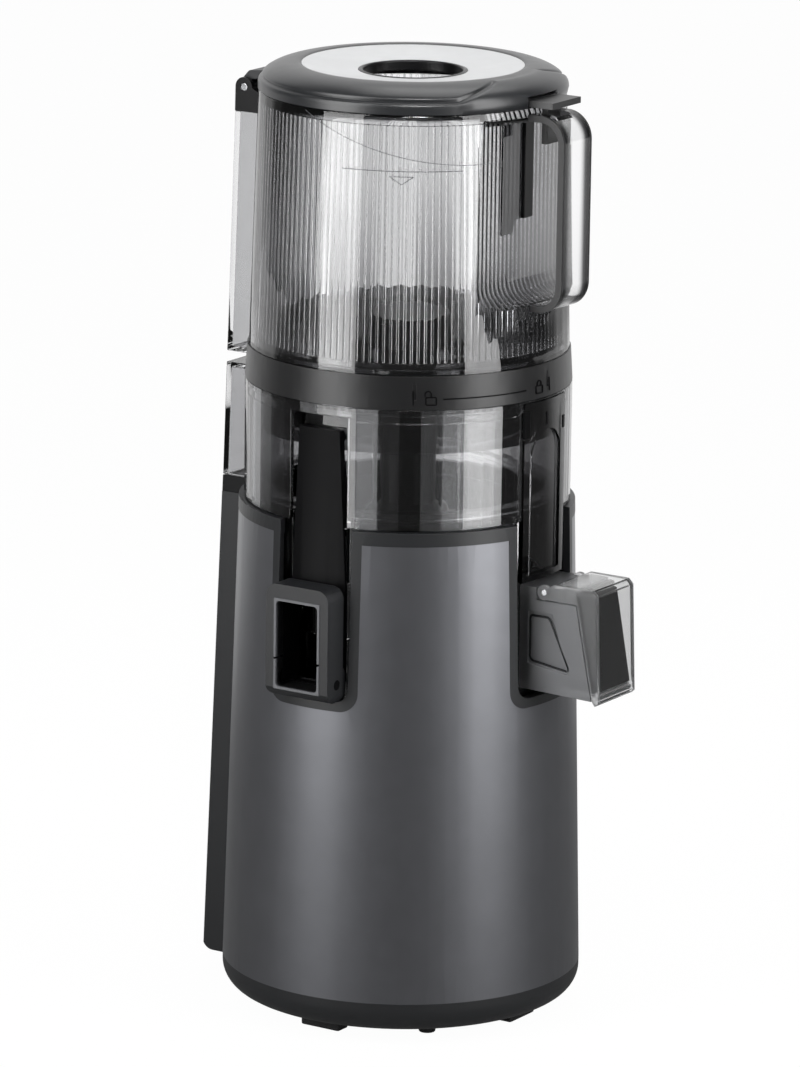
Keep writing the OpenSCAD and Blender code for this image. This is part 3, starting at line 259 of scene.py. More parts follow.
def plastic(name, colour, roughness, texture_mm=0.0, texture_scale=2600, level=0.5, flake=0.0, lacquer=0.0):
    """Moulded or painted skin: a faintly clouded colour, uneven gloss, and a fine even texture."""
    clouds = 0.08
    f = Finish(name)
    sockets = {
        "Base Color": f.blend(f.grain(60), shade(colour, 1 - clouds), shade(colour, 1 + clouds)),
        "Roughness": roughness - 0.03 + f.grain(160) * 0.06,
        "Specular IOR Level": level, "Metallic": flake, "Coat Weight": lacquer, "Coat Roughness": 0.28,
    }
    if texture_mm:
        sockets["Normal"] = f.bump(f.grain(texture_scale, 3), texture_mm)
    return f.close(f.add("BsdfPrincipled", {}, sockets))


BODY_OF = {n: b for b, nodes in frame["record"]["behaviour"]["bodies"].items() for n in nodes}


def settle(piece, finish, *nodes):
    """Gives a piece its finish, and lets it ride and stand for the nodes that it is the skin of."""
    piece.data.materials.clear()
    piece.data.materials.append(finish)
    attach(piece, BODY_OF[nodes[0]])
    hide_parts(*nodes)
    return piece


def rounded(piece, radius_mm, crease, segments):
    """Rounds every edge that is sharper than the crease angle."""
    edge = piece.modifiers.new("edge", "BEVEL")
    edge.width, edge.segments = radius_mm / 1000, segments
    edge.limit_method, edge.angle_limit = "ANGLE", math.radians(crease)
    edge.harden_normals = True


def dressed(node, finish, radius_mm=0.3, crease=28, segments=2):
    """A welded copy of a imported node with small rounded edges, which stands for it."""
    mesh = frame["nodes"][node].data.copy()
    mesh.name = node + "_skin"
    work = bmesh.new()
    work.from_mesh(mesh)
    bmesh.ops.remove_doubles(work, verts=work.verts, dist=2e-6)
    bmesh.ops.dissolve_limit(work, angle_limit=math.radians(0.5), verts=work.verts, edges=work.edges)
    work.to_mesh(mesh)
    work.free()
    piece = bpy.data.objects.new(node + "_skin", mesh)
    bpy.context.scene.collection.objects.link(piece)
    mesh.polygons.foreach_set("use_smooth", np.ones(len(mesh.polygons), bool))
    mesh.set_sharp_from_angle(angle=math.radians(crease))
    rounded(piece, radius_mm, crease, segments)
    return settle(piece, finish, node)


satin_paint = plastic("satin_paint", rgb(115, 116, 120), 0.44, 0.003, 5200, flake=1.0, lacquer=0.35)
dressed("body_shell", satin_paint, 0.35)


# ---- Dark trim, spine and bottom cap ----
# Matte mouldings in one dark grey with a spark-eroded texture: the lip round the
# shell's top edge and slots, the column behind, and the cap that carries the feet.

matte_dark = plastic("matte_dark", rgb(22, 23, 25), 0.42, 0.02, 2600)
black_plastic = plastic("black_plastic", rgb(11, 11, 12), 0.3, 0.006, 1800, level=0.25)
deep_black = plastic("deep_black", rgb(8, 8, 9), 0.4, level=0.06)
dressed("body_trim", matte_dark, 0.6, 28, 3)
dressed("rear_spine", matte_dark, 1.6, 28, 4)
dressed("spine_cap", black_plastic, 0.8, 28, 3)
dressed("base_cap", matte_dark, 0.5)


# ---- Feet and base screws ----
# Four pads and four round buttons of black rubber under the cap, and the steel
# screws that hold the cap on.

rubber = plastic("rubber", rgb(24, 24, 25), 0.72, 0.02, 1500)
steel_dark, steel_pale = rgb(150, 151, 154), rgb(205, 206, 208)


def metal(name, dark, pale, roughness, scale):
    """Bare metal with fine streaks of lighter and duller skin."""
    f = Finish(name)
    streak = f.grain(scale, 4)
    return f.close(f.add("BsdfPrincipled", {}, {
        "Base Color": f.blend(streak, dark, pale), "Metallic": 1.0, "Roughness": roughness + streak * 0.12,
    }))


steel = metal("turned_steel", steel_dark, steel_pale, 0.2, 900)
dressed("foot_pads", rubber, 0.8, 28, 3)
dressed("round_feet", rubber, 0.6, 28, 3)
dressed("base_screws", steel, 0.2)


# ---- Drive and switch ----
# The works inside: motor, two-stage gearbox, board and sensor. Behind the spine
# stand the rocker switch and the bush for the mains lead.

alloy = metal("cast_alloy", rgb(140, 142, 145), rgb(190, 192, 194), 0.42, 500)
copper = metal("varnished_copper", rgb(120, 62, 32), rgb(178, 100, 58), 0.35, 1600)
gear_plastic = plastic("gear_plastic", rgb(214, 210, 194), 0.42)
board_green = plastic("board_green", rgb(30, 88, 57), 0.35, 0.01, 900)
silicone = plastic("silicone", rgb(14, 14, 15), 0.5, 0.004, 900, level=0.2)
WORKS = {
    "gearbox_base": alloy, "gearbox_lid": alloy, "motor_can": alloy, "motor_stator": copper,
    "layshaft_gear": gear_plastic, "output_gear": gear_plastic, "control_board": board_green,
    "gearbox_plate": steel, "output_bearing": steel, "motor_bearings": steel, "motor_rotor": steel,
    "motor_pinion": steel, "layshaft": steel, "drive_shaft": steel, "reed_sensor": steel,
    "shaft_seal": silicone, "cooling_fan": black_plastic, "switch_box": black_plastic,
    "interlock_magnet": black_plastic,
}
for node, finish in WORKS.items():
    mesh = frame["nodes"][node].data
    mesh.materials.clear()
    mesh.materials.append(finish)
dressed("switch_bezel", black_plastic, 0.6, 28, 3)
dressed("power_rocker", black_plastic, 0.8, 20, 3)
dressed("cord_gland", rubber, 0.5, 28, 3)
dressed("drum_well", black_plastic, 0.3)


# ---- Drum ----
# Smoked copolyester with wide flat facets above the base. Seen edge-on its walls
# turn nearly black, because the light has further to go through them.

FACETS = 48                 # round the drum, and round the hopper


def smoked(name, clear, dark, start, stop, roughness=0.02, seed=0.0, lines=0, depth=0.0, sheen_skin=0.0):
    """See-through plastic that darkens as its wall turns away.

    A seed gives each of the facets round the axis its own tone, a painted reflection of the
    lamps and the room; lines are the fine dark cores of the ribs inside, painted shade where the
    ribs bend the light; and the skin's share is how much of a pale skin, a painted highlight,
    shows on the palest facets.
    """
    f = Finish(name)
    facing = f.add("LayerWeight", {}, {"Blend": 0.5}, "Facing")
    turned = f.add("MapRange", {"interpolation_type": "SMOOTHSTEP"},
                   {"Value": facing, "From Min": start, "From Max": stop})
    tint = f.blend(turned, clear, dark)
    if seed:
        # Painted reflection: each facet gets a tone of its own, lighter or darker as if it caught a
        # different part of the lamps and the room.
        x, y, z = (f.add("SeparateXYZ", {}, {0: f.place()}, axis) for axis in range(3))
        turn = x.math("ARCTAN2", y, x) * (0.5 / math.pi)
        facet = x.math("FLOOR", turn * FACETS)
        tone = f.add("TexWhiteNoise", {"noise_dimensions": "1D"}, {"W": facet + seed}, 0)
        if lines:
            # Painted shade: darker towards the cup's foot and on the recess's back wall, and most on its
            # bend, with the ribs' cores as thin painted dark lines.
            rib = x.math("SINE", turn * lines * math.pi)
            core = (rib * rib) ** 8
            strength = f.add("TexWhiteNoise", {"noise_dimensions": "1D"},
                             {"W": x.math("ROUND", turn * lines) + 0.61}, 0)
            foot = f.add("MapRange", {}, {"Value": z, "From Min": 0.376, "From Max": 0.335})
            recess = f.add("MapRange", {}, {"Value": y, "From Min": -0.055, "From Max": -0.065})
            bend = f.add("MapRange", {}, {"Value": z, "From Min": 0.378, "From Max": 0.36})
            tone = tone * (foot + 0.6) | core * strength | recess * (bend * 0.95 + 0.5)
        tint = f.blend(tone * depth, tint, dark)
    glass = f.add("BsdfPrincipled", {}, {
        "Base Color": tint, "Roughness": roughness, "IOR": 1.5, "Transmission Weight": 1.0})
    if not sheen_skin:
        return f.close(glass)
    # A pale diffuse skin on the palest facets: a painted highlight for the soft boxes mirrored in them.
    skin = f.add("BsdfPrincipled", {}, {"Base Color": rgb(172, 173, 175), "Roughness": 0.3})
    return f.close(f.add("MixShader", {}, {0: (1 - tone) ** 3 * sheen_skin, 1: glass, 2: skin}))


SMOKE_CLEAR, SMOKE_DARK = (0.95, 0.952, 0.958, 1), (0.2, 0.2, 0.208, 1)
# The drum's facet tones and the pale skin on its palest facets are painted reflections of the soft boxes.
smoked_drum = smoked("smoked_drum", SMOKE_CLEAR, SMOKE_DARK, 0.05, 0.42,
                     seed=26931.86, depth=0.9, sheen_skin=0.2)
smoked_plain = smoked("smoked_plain", SMOKE_CLEAR, SMOKE_DARK, 0.1, 0.6)
dark_smoked = smoked("dark_smoked", (0.3, 0.3, 0.308, 1), (0.06, 0.06, 0.062, 1), 0.1, 0.7)
dressed("drum_wall", smoked_drum, 0.35, 5)
dressed("front_panel", dark_smoked, 0.5, 20, 3)
dressed("drum_column", smoked_plain, 0.5, 20, 3)
dressed("drum_seal", silicone, 0.3)


# ---- Strainer and auger ----
# A smoked strainer basket, and the pressing screw in near-black food plastic. The
# screw's neck and the basket's rim show through the drum, its head in the hopper.

screw_plastic = plastic("screw_plastic", rgb(14, 14, 15), 0.35, 0.006, 1400, level=0.25)
dressed("strainer", smoked_plain, 0.25)
dressed("auger", screw_plastic, 0.4)
dressed("auger_head", screw_plastic, 0.6, 28, 3)


# ---- Juice spout and flip cap ----
# A smoked box with a leaning mouth, and a clear cap hinged on a steel pin that
# holds a black silicone plate against the mouth.

def frosted(name, tint, sheen_skin, share, rough_from=0.0):
    """See-through plastic with a milky skin, darker towards the drum.

    From a distance aside of its middle it can be rough, and clear within.
    """
    f = Finish(name)
    x, y = (f.add("SeparateXYZ", {}, {0: f.place()}, axis) for axis in (0, 1))
    # Painted shade and sheen: the skin's colour is dark towards the drum and paler outward, as the light
    # falls on the spout's sides.
    outward = f.add("MapRange", {"interpolation_type": "SMOOTHSTEP"},
                    {"Value": y, "From Min": -0.078, "From Max": -0.1})
    outer = x.math("GREATER_THAN", x.math("ABSOLUTE", x), rough_from)
    glass = f.add("BsdfPrincipled", {}, {
        "Base Color": tint, "Roughness": outer * 0.3 + 0.03, "IOR": 1.5, "Transmission Weight": 1.0,
        "Normal": f.bump(f.grain(90, 1), 0.02)})
    skin = f.add("BsdfPrincipled", {}, {
        "Base Color": f.blend(outward, shade(sheen_skin, 0.25), shade(sheen_skin, 1.15)),
        "Roughness": 0.3 + f.grain(200) * 0.08})
    return f.close(f.add("MixShader", {}, {0: outer * share, 1: glass, 2: skin}))


smoked_spout = frosted("smoked_spout", (0.7, 0.703, 0.71, 1), rgb(104, 105, 108), 0.45)
cap_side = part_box("juice_cap")[1].x - 0.0022
clear_plastic = frosted("clear_plastic", (0.97, 0.972, 0.975, 1), rgb(96, 97, 99), 0.15,
                        cap_side)
dressed("juice_spout", smoked_spout, 0.9, 28, 3)
dressed("spout_pin", steel, 0.2)
dressed("juice_cap", clear_plastic, 0.7, 28, 3)
dressed("cap_seal", deep_black, 0.5)


# ---- Pulp chute and lever ----
# A black chute in the drum's window, and the matte frame that swings out from it
# on two pins, lined with a dark clip whose front rim carries a painted highlight.

liner_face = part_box("lever_liner")[0].x
liner = Finish("grey_liner")
inward = liner.add("SeparateXYZ", {}, {0: liner.place()}, 0)
# Painted highlight: the clip's front rim is pale grey, and it is near black behind it.
behind_rim = liner.add("MapRange", {"interpolation_type": "SMOOTHSTEP"},
                       {"Value": inward, "From Min": liner_face + 0.0006, "From Max": liner_face + 0.0022})
grey_liner = liner.close(liner.add("BsdfPrincipled", {}, {
    "Base Color": liner.blend(behind_rim, rgb(80, 81, 84), rgb(12, 12, 13)),
    "Roughness": 0.34 + liner.grain(900) * 0.05}))
dressed("pulp_chute", deep_black, 0.5, 28, 3)
dressed("pulp_lever", matte_dark, 0.9, 28, 3)
dressed("lever_liner", grey_liner, 0.35)


# ---- Hopper ----
# One moulded cup of smoked copolyester: 48 flat facets outside, 144 fine ribs
# inside, a finger recess with a flat back, and a neck that drops into the drum.

RIBS = 144
RIB_WIDE, RIB_HIGH = 1.15, 0.42
RIB_FOOT = 331.0            # height at which the ribs' round feet end
HOPPER_WALL = 2.4
NECK_OUTER, NECK_INNER, NECK_LOW = 72.9, 70.7, 287.4
LEDGE_DROP = 5.0            # from the rim down to the ledge inside it
RECESS_FLAT, RECESS_BEND = 63.4, 12.0
RECESS_RIB = 3.5

ring_low, ring_top = (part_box("lock_ring")[i].z * 1000 for i in (0, 1))
hopper_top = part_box("hopper_wall")[1].z * 1000
hopper_low_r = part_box("hopper_wall")[1].x * 1000
hopper_top_r = hopper_low_r - 3.6
recess_top = hopper_top - 6
recess_low = ring_top + 29.5
FRONT = math.radians(270)


def hopper_r(z):
    return hopper_low_r + (hopper_top_r - hopper_low_r) * (z - ring_top) / (hopper_top - ring_top)


def solid(name, rows, smooth, crease=35):
    """A closed body from rings of points, lowest first; each ring is (points, 3), turning anticlockwise."""
    rows = np.asarray(rows, float)
    count, turns = rows.shape[:2]
    index = np.arange(count * turns).reshape(count, turns)
    nxt = np.roll(index, -1, 1)
    quads = np.stack([index[:-1], nxt[:-1], nxt[1:], index[1:]], -1).reshape(-1, 4)
    faces = quads.tolist() + [index[0][::-1].tolist(), index[-1].tolist()]
    mesh = bpy.data.meshes.new(name)
    mesh.from_pydata((rows.reshape(-1, 3) / 1000).tolist(), [], faces)
    mesh.polygons.foreach_set("use_smooth", np.full(len(faces), smooth))
    mesh.set_sharp_from_angle(angle=math.radians(crease))
    piece = bpy.data.objects.new(name, mesh)
    bpy.context.scene.collection.objects.link(piece)
    return piece


def polar(radius, angle, z):
    """Points at a radius, angle and height, as an array of (x, y, z)."""
    radius, angle, z = np.broadcast_arrays(radius, angle, z)
    return np.stack([radius * np.cos(angle), radius * np.sin(angle), z], -1)


def faceted(angle, radius, corners):
    """Radius of a polygon with corners on the circle: r cos(pi/n) / cos(angle from the facet's middle)."""
    step = 2 * np.pi / corners
    return radius * np.cos(step / 2) / np.cos(np.mod(angle, step) - step / 2)


def rib(angle, z):
    """Height of the ribs inside: h sqrt(1 - u^2 - v^2), u across the rib and v past its round foot."""
    pitch = 2 * np.pi * 70 / RIBS
    across_rib = (np.mod(angle * RIBS / (2 * np.pi), 1) - 0.5) * pitch / (RIB_WIDE / 2)
    past_foot = np.clip((RIB_FOOT + RIB_WIDE / 2 - z) / (RIB_WIDE / 2), 0, 2)
    return RIB_HIGH * np.sqrt(np.clip(1 - across_rib ** 2 - past_foot ** 2, 0, 1))


def recess_tool(name, low, flat, bend, top, ribs):
    """Cutter for the recess: floor, bend and back wall as a profile carried across, with ribs along it."""
    turn = np.linspace(0, np.pi / 2, 15)
    bend_y, bend_z = -flat - bend + bend * np.sin(turn), low + bend - bend * np.cos(turn)
    y = np.concatenate([[-120], bend_y, [-flat]])
    z = np.concatenate([[low], bend_z, [top]])
    normal_y = np.concatenate([[0], -np.sin(turn), [-1]])
    normal_z = np.concatenate([[1], np.cos(turn), [0]])
    x = np.linspace(-56, 56, 32 * 8 + 1 if ribs else 2)
    rib = ribs * np.abs(np.cos(np.pi * x / RECESS_RIB))[:, None]
    points = np.stack([np.broadcast_to(x[:, None], rib.shape[:1] + y.shape),
                       y + rib * normal_y, z + rib * normal_z], -1)
    corner = np.stack([x, np.full_like(x, -120), np.full_like(x, top)], -1)[:, None]
    return solid(name, np.concatenate([points, corner], 1), bool(ribs))


def carve(piece, tool):
    """Subtracts a tool from a piece; the tool goes."""
    cut = piece.modifiers.new("cut", "BOOLEAN")
    cut.operation, cut.solver, cut.object = "DIFFERENCE", "MANIFOLD", tool
    graph = bpy.context.evaluated_depsgraph_get()
    mesh = bpy.data.meshes.new_from_object(piece.evaluated_get(graph))
    piece.modifiers.clear()
    piece.data = mesh
    bpy.data.objects.remove(tool)


coarse = np.linspace(0, 2 * np.pi, FACETS * 4, endpoint=False) + FRONT
across_pitch = 0.5 + np.array([-0.5, -0.188, -0.17, -0.1, 0, 0.1, 0.17, 0.188])
fine = (np.arange(RIBS)[:, None] + across_pitch).ravel() * 2 * np.pi / RIBS + FRONT
hopper = solid("hopper_cup", [
    polar(NECK_OUTER, coarse, NECK_LOW), polar(NECK_OUTER, coarse, ring_top),
    polar(faceted(coarse - FRONT, hopper_low_r, FACETS), coarse, ring_top),
    polar(faceted(coarse - FRONT, hopper_top_r + 0.02, FACETS), coarse, hopper_top - 0.6),
    polar(hopper_top_r - 0.45, coarse, hopper_top),
], False)
foot_rows = RIB_FOOT + RIB_WIDE / 2 * (1 - np.cos(np.linspace(0, np.pi / 2, 6)))
rib_rows = [polar(hopper_r(z) - HOPPER_WALL - rib(fine, z), fine, z)
            for z in [*foot_rows, 340, hopper_top - LEDGE_DROP]]
cavity = solid("hopper_hollow", [
    polar(NECK_INNER, fine, NECK_LOW - 5), polar(NECK_INNER, fine, ring_top + 2),
    polar(hopper_r(ring_top) - HOPPER_WALL, fine, ring_top + 2), *rib_rows,
    polar(hopper_top_r - HOPPER_WALL + 0.8, fine, hopper_top - LEDGE_DROP),
    polar(hopper_top_r - HOPPER_WALL + 0.8, fine, hopper_top + 5),
], True)
carve(cavity, recess_tool("recess_inside", recess_low - HOPPER_WALL, RECESS_FLAT - HOPPER_WALL,
                          RECESS_BEND, recess_top + HOPPER_WALL, 0.6))
carve(hopper, recess_tool("recess_outside", recess_low, RECESS_FLAT, RECESS_BEND, recess_top, 0))
carve(hopper, cavity)
# Facet tones here are painted reflection; the dark rib cores and the darker foot and recess are painted
# shade.
smoked_hopper = smoked("smoked_hopper", SMOKE_CLEAR, SMOKE_DARK, 0.14, 0.5,
                       seed=3976.6, lines=RIBS, depth=0.65)
settle(hopper, smoked_hopper, "hopper_wall")
smoked_floor = smoked("smoked_floor", (0.5, 0.5, 0.508, 1), (0.08, 0.08, 0.083, 1), 0.1, 0.6)
dressed("hopper_floor", smoked_floor, 0.4, 28, 3)
dressed("hopper_column", smoked_plain, 0.5, 20, 3)
dressed("sensor_bar", black_plastic, 0.6, 28, 3)
CARRIER_WIDE, CARRIER_STEP, CARRIER_DROP = 17, 6, 6     # beside the bar, its narrow part, and below the bar
CARRIER_BACK, CARRIER_FACE = 0.02, 1.0
bar_low, bar_high = (v * 1000 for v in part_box("sensor_bar"))
carrier = np.array([
    (bar_low.x, bar_high.z), (bar_low.x - CARRIER_WIDE, bar_high.z),
    (bar_low.x - CARRIER_WIDE, bar_low.z - CARRIER_DROP),
    (bar_low.x - CARRIER_STEP - 1, bar_low.z - CARRIER_DROP),
    (bar_low.x - CARRIER_STEP, bar_low.z), (bar_low.x, bar_low.z)])
plate = solid("bar_carrier", [
    np.stack([carrier[:, 0], np.full(len(carrier), bar_high.y - y), carrier[:, 1]], -1)
    for y in (CARRIER_BACK, CARRIER_FACE)], False)
rounded(plate, 0.3, 28, 2)
plate.data.materials.append(dark_smoked)
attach(plate, BODY_OF["sensor_bar"])


# ---- Handle ----
# A strap of the same smoked plastic, bent from the rim down to the recess's floor,
# thick enough for its rounded edges to show as dark lines, which its colour paints in
# as well: a painted shade that turns it near black towards both sides.

handle_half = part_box("hopper_handle")[1].x
strap = Finish("smoked_handle")
aside = strap.add("SeparateXYZ", {}, {0: strap.place()}, 0)
aside = aside.math("ABSOLUTE", aside)
# Painted shade: the strap's colour turns near black in the last few millimetres towards each side.
painted_edge_shade = strap.add("MapRange", {"interpolation_type": "SMOOTHSTEP"},
                      {"Value": aside, "From Min": handle_half - 0.0085, "From Max": handle_half - 0.003})
side_face = strap.add("MapRange", {},
                      {"Value": aside, "From Min": handle_half - 0.0022, "From Max": handle_half - 0.0008})
smoked_handle = strap.close(strap.add("BsdfPrincipled", {}, {
    "Base Color": strap.blend(painted_edge_shade, (0.96, 0.962, 0.968, 1), (0.01, 0.01, 0.011, 1)),
    "Roughness": 0.03 + side_face * 0.42, "IOR": 1.5, "Transmission Weight": 1.0}))
dressed("hopper_handle", smoked_handle, 1.1, 28, 4)


# ---- Locking ring ----
# Matte ring with raised marks: a bar and an open padlock, a line, and a closed
# padlock and a bar above the spout.

MARK_THICK = 0.4
MARK_LINE = 0.7
ring_low_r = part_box("lock_ring")[1].x * 1000


def strip(path, outward, width, thick, closed=False):
    """A raised line: a rectangle swept along a path, its width across it and its thickness outward."""
    path, outward = np.asarray(path, float), np.asarray(outward, float)
    if closed:
        ahead = np.roll(path, -1, 0) - np.roll(path, 1, 0)
    else:
        ahead = np.gradient(path, axis=0)
    side = np.cross(outward, ahead)
    side /= np.linalg.norm(side, axis=1, keepdims=True)
    half, base = side * width / 2, path - outward * 0.15
    crown = path + outward * thick
    rings = np.stack([base - half, base + half, crown + half * 0.7, crown - half * 0.7], 1)
    return rings, closed


def strips(name, parts, finish, node):
    """One piece from several raised lines, riding with the node that carries them."""
    points, faces = [], []
    for rings, closed in parts:
        start = sum(len(p) for p in points)
        count = len(rings)
        index = start + np.arange(count * 4).reshape(count, 4)
        here, there = (index, np.roll(index, -1, 0)) if closed else (index[:-1], index[1:])
        side = np.roll(here, -1, 1), np.roll(there, -1, 1)
        faces += np.stack([here, there, side[1], side[0]], -1).reshape(-1, 4).tolist()
        if not closed:
            faces += [index[0].tolist(), index[-1][::-1].tolist()]
        points.append(rings.reshape(-1, 3))
    mesh = bpy.data.meshes.new(name)
    mesh.from_pydata((np.concatenate(points) / 1000).tolist(), [], faces)
    work = bmesh.new()
    work.from_mesh(mesh)
    bmesh.ops.recalc_face_normals(work, faces=work.faces)
    work.to_mesh(mesh)
    work.free()
    mesh.materials.append(finish)
    piece = bpy.data.objects.new(name, mesh)
    bpy.context.scene.collection.objects.link(piece)
    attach(piece, BODY_OF[node])
    return piece


def on_ring(points):
    """Carries flat points, (mm left of the front, height), onto the ring's face, with its normals."""
    points = np.asarray(points, float)
    radius = ring_low_r - (points[:, 1] - ring_low) / (ring_top - ring_low)
    angle = FRONT - points[:, 0] / ring_low_r
    return polar(radius, angle, points[:, 1]), polar(1, angle, 0)


def arc(x, z, radius, start, end, count=14):
    """Points of a flat arc, its ends in degrees."""
    turn = np.radians(np.linspace(start, end, count))
    return np.stack([x + radius * np.cos(turn), z + radius * np.sin(turn)], -1)


def padlock(x, z, lift, swing):
    """Outline of a padlock's body, and its shackle, lifted and swung aside when it is open."""
    half, tall, bend = 2.5, 3.6, 0.5
    across, up = half - bend, tall / 2 - bend
    body = np.concatenate([
        arc(x + side * across, z + tall / 2 + end * up, bend, start, start + 90, 4)
        for side, end, start in ((1, 1, 0), (-1, 1, 90), (-1, -1, 180), (1, -1, 270))])
    bow = arc(x + swing, z + tall + 0.9 + lift, 1.5, -10, 190)
    right_foot, left_foot = [bow[0, 0], z + tall + lift * 1.2], [bow[-1, 0], z + tall]
    return [(body, True), (np.concatenate([[right_foot], bow, [left_foot]]), False)]


BAR_TALL = 6.4
OPEN_BAR, OPEN_LOCK, LINE_START, LINE_END, SHUT_LOCK, SHUT_BAR = 57.2, 49.2, 45, 12, 5, -1.2    # degrees
mm_per_degree = math.radians(1) * ring_low_r
mark_z = ring_low + 2.6
open_x, shut_x = OPEN_BAR * mm_per_degree - 2.5, SHUT_BAR * mm_per_degree
line_x = np.linspace(LINE_START, LINE_END, 30) * mm_per_degree
marks = [([[open_x, mark_z], [open_x, mark_z + BAR_TALL]], False),
         ([[shut_x, mark_z], [shut_x, mark_z + BAR_TALL]], False),
         (np.stack([line_x, np.full(len(line_x), mark_z + 2.6)], -1), False),
         *padlock(OPEN_LOCK * mm_per_degree, mark_z, 0.5, 1.4),
         *padlock(SHUT_LOCK * mm_per_degree, mark_z, 0, 0)]
ring_lines = [strip(*on_ring(line), MARK_LINE, MARK_THICK, closed) for line, closed in marks]
ring_black = plastic("ring_black", rgb(14, 14, 15), 0.36, 0.02, 2600)
dressed("lock_ring", ring_black, 0.4)
# The raised marks are near black, a painted shade for their relief on the ring.
strips("ring_marks", ring_lines, deep_black, "lock_ring")


# ---- Spout step shade ----
# The outline of the shallow panel that the mould sinks in each side of the spout,
# leaning with its mouth, drawn as a thin dark smoked strip: painted shade at the step.

SUNKEN = np.array([(-81.5, 206.5), (-92.0, 206.5), (-104.0, 181.5), (-81.5, 184.5)])
SUNKEN_LINE, SUNKEN_THICK = 1.2, 0.05
spout_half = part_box("juice_spout")[1].x * 1000 - SUNKEN_THICK
sunken = np.concatenate([np.linspace(start, end, 12, endpoint=False)
                         for start, end in zip(SUNKEN, np.roll(SUNKEN, -1, 0))])
sunken = (np.roll(sunken, 1, 0) + sunken + np.roll(sunken, -1, 0)) / 3
side_lines = [
    strip(np.column_stack([np.full(len(sunken), side * spout_half), sunken]),
          np.tile([side, 0.0, 0.0], (len(sunken), 1)), SUNKEN_LINE, SUNKEN_THICK, True)
    for side in (-1, 1)]
# Painted shade along the sunken panel's step, in the dark smoked plastic.
strips("spout_step_shade", side_lines, dark_smoked, "juice_spout")


# ---- Panel marks ----
# Two black catches at the sides of the drum's front panel, and the raised tick that
# the ring's bar is turned to. All are moulded on the panel.

# Degrees left of the front, lower and upper height, width and thickness of each.
PANEL_MARKS = (
    (11.9, 291.7, 304.5, 5.4, 0.5), (1.2, 296.2, 302.4, 1.6, 0.35), (-11.4, 291.5, 297.4, 2.6, 0.5))
panel_r = -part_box("front_panel")[0].y * 1000


def on_panel(degrees, low, high):
    """An upright line on the panel's face, degrees round from the front to the left, with normals."""
    angle = FRONT - math.radians(degrees)
    height = np.linspace(low, high, 6)
    return polar(panel_r - 0.1, angle, height), polar(1, angle, 0 * height)


panel_lines = [strip(*on_panel(degrees, low, high), width, thick)
               for degrees, low, high, width, thick in PANEL_MARKS]
strips("panel_marks", panel_lines, deep_black, "front_panel")


# ---- Hopper marks ----
# A fill line with a small pointer under it, and a faint curved step, all moulded
# on the hopper's face.

FILL_LINE = 422.0
FILL_TURN = 57              # degrees round from the front to the middle of the fill line
FILL_SPAN = (-19, 26)
SWEEP_SPAN = (-43, 33)
SWEEP_LOW, SWEEP_TURN, SWEEP_RISE = 424.5, 25, 0.00487  # lowest height, where, and mm up per square degree


def on_hopper(degrees, z):
    """Points on the hopper's outer face, degrees round from the front to the left, with normals."""
    angle = FRONT - np.radians(degrees)
    return polar(faceted(angle - FRONT, hopper_r(z), FACETS), angle, z), polar(1, angle, 0 * z)


fill = FILL_TURN + np.linspace(*FILL_SPAN, 60)
tip = np.array([[-0.7, 2.5], [8, 2.5], [3.65, 6.2]])
pointer = np.concatenate([np.linspace(start, end, 8, endpoint=False)
                          for start, end in zip(tip, np.roll(tip, -1, 0))])
sweep = np.linspace(*SWEEP_SPAN, 80)
sweep_z = SWEEP_LOW + SWEEP_RISE * (sweep - SWEEP_TURN) ** 2
hopper_lines = [
    strip(*on_hopper(FILL_TURN - sweep, sweep_z), 0.3, 0.1),
    strip(*on_hopper(fill, np.full(len(fill), FILL_LINE)), 0.4, 0.12),
    strip(*on_hopper(FILL_TURN + pointer[:, 0], FILL_LINE - pointer[:, 1]), 0.35, 0.12, True),
]
line_grey = plastic("line_grey", rgb(70, 71, 74), 0.4)
strips("hopper_marks", hopper_lines, line_grey, "hopper_wall")


# ---- Lid hinge ----
# A yoke of black plastic on the column's top, with a turned steel pin through it
# that the lid's knuckles turn on.

dressed("hinge_bracket", black_plastic, 0.6, 28, 3)
dressed("hinge_pin", steel, 0.4)


# ---- Lid ----
# A domed ring of dark satin plastic with a groove round its foot that climbs beside
# the latch, a pale dished panel inside it, and a black collar round the feed hole.

LID_COLUMNS = 480
LID_WALL = 2.2
DISH_R = 55.0
APRON_LOW, APRON_HIGH = 40.0, 18.0     # degrees from the front between which the groove climbs
GROOVE_LOW, GROOVE_HIGH = 0.22, 0.80   # shares of the way up the dome
GROOVE_DEPTH, GROOVE_WIDTH = 1.2, 1.2
LATCH_ROOM, LATCH_BACK = 12.9, 68.7    # half the cut for the latch, and how far out it starts
KNUCKLE_R = 4.8
lid_low, lid_top = hopper_top + 0.3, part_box("lid_cover")[1].z * 1000
lid_r = hopper_top_r + 0.2
lid_edge = lid_low + 3.0


def dome(share):
    """Radius and height up the dome, a quarter of an ellipse from the edge to the dish."""
    turn = share * np.pi / 2
    return DISH_R + (lid_r - DISH_R) * np.cos(turn), lid_edge + (lid_top - lid_edge) * np.sin(turn)


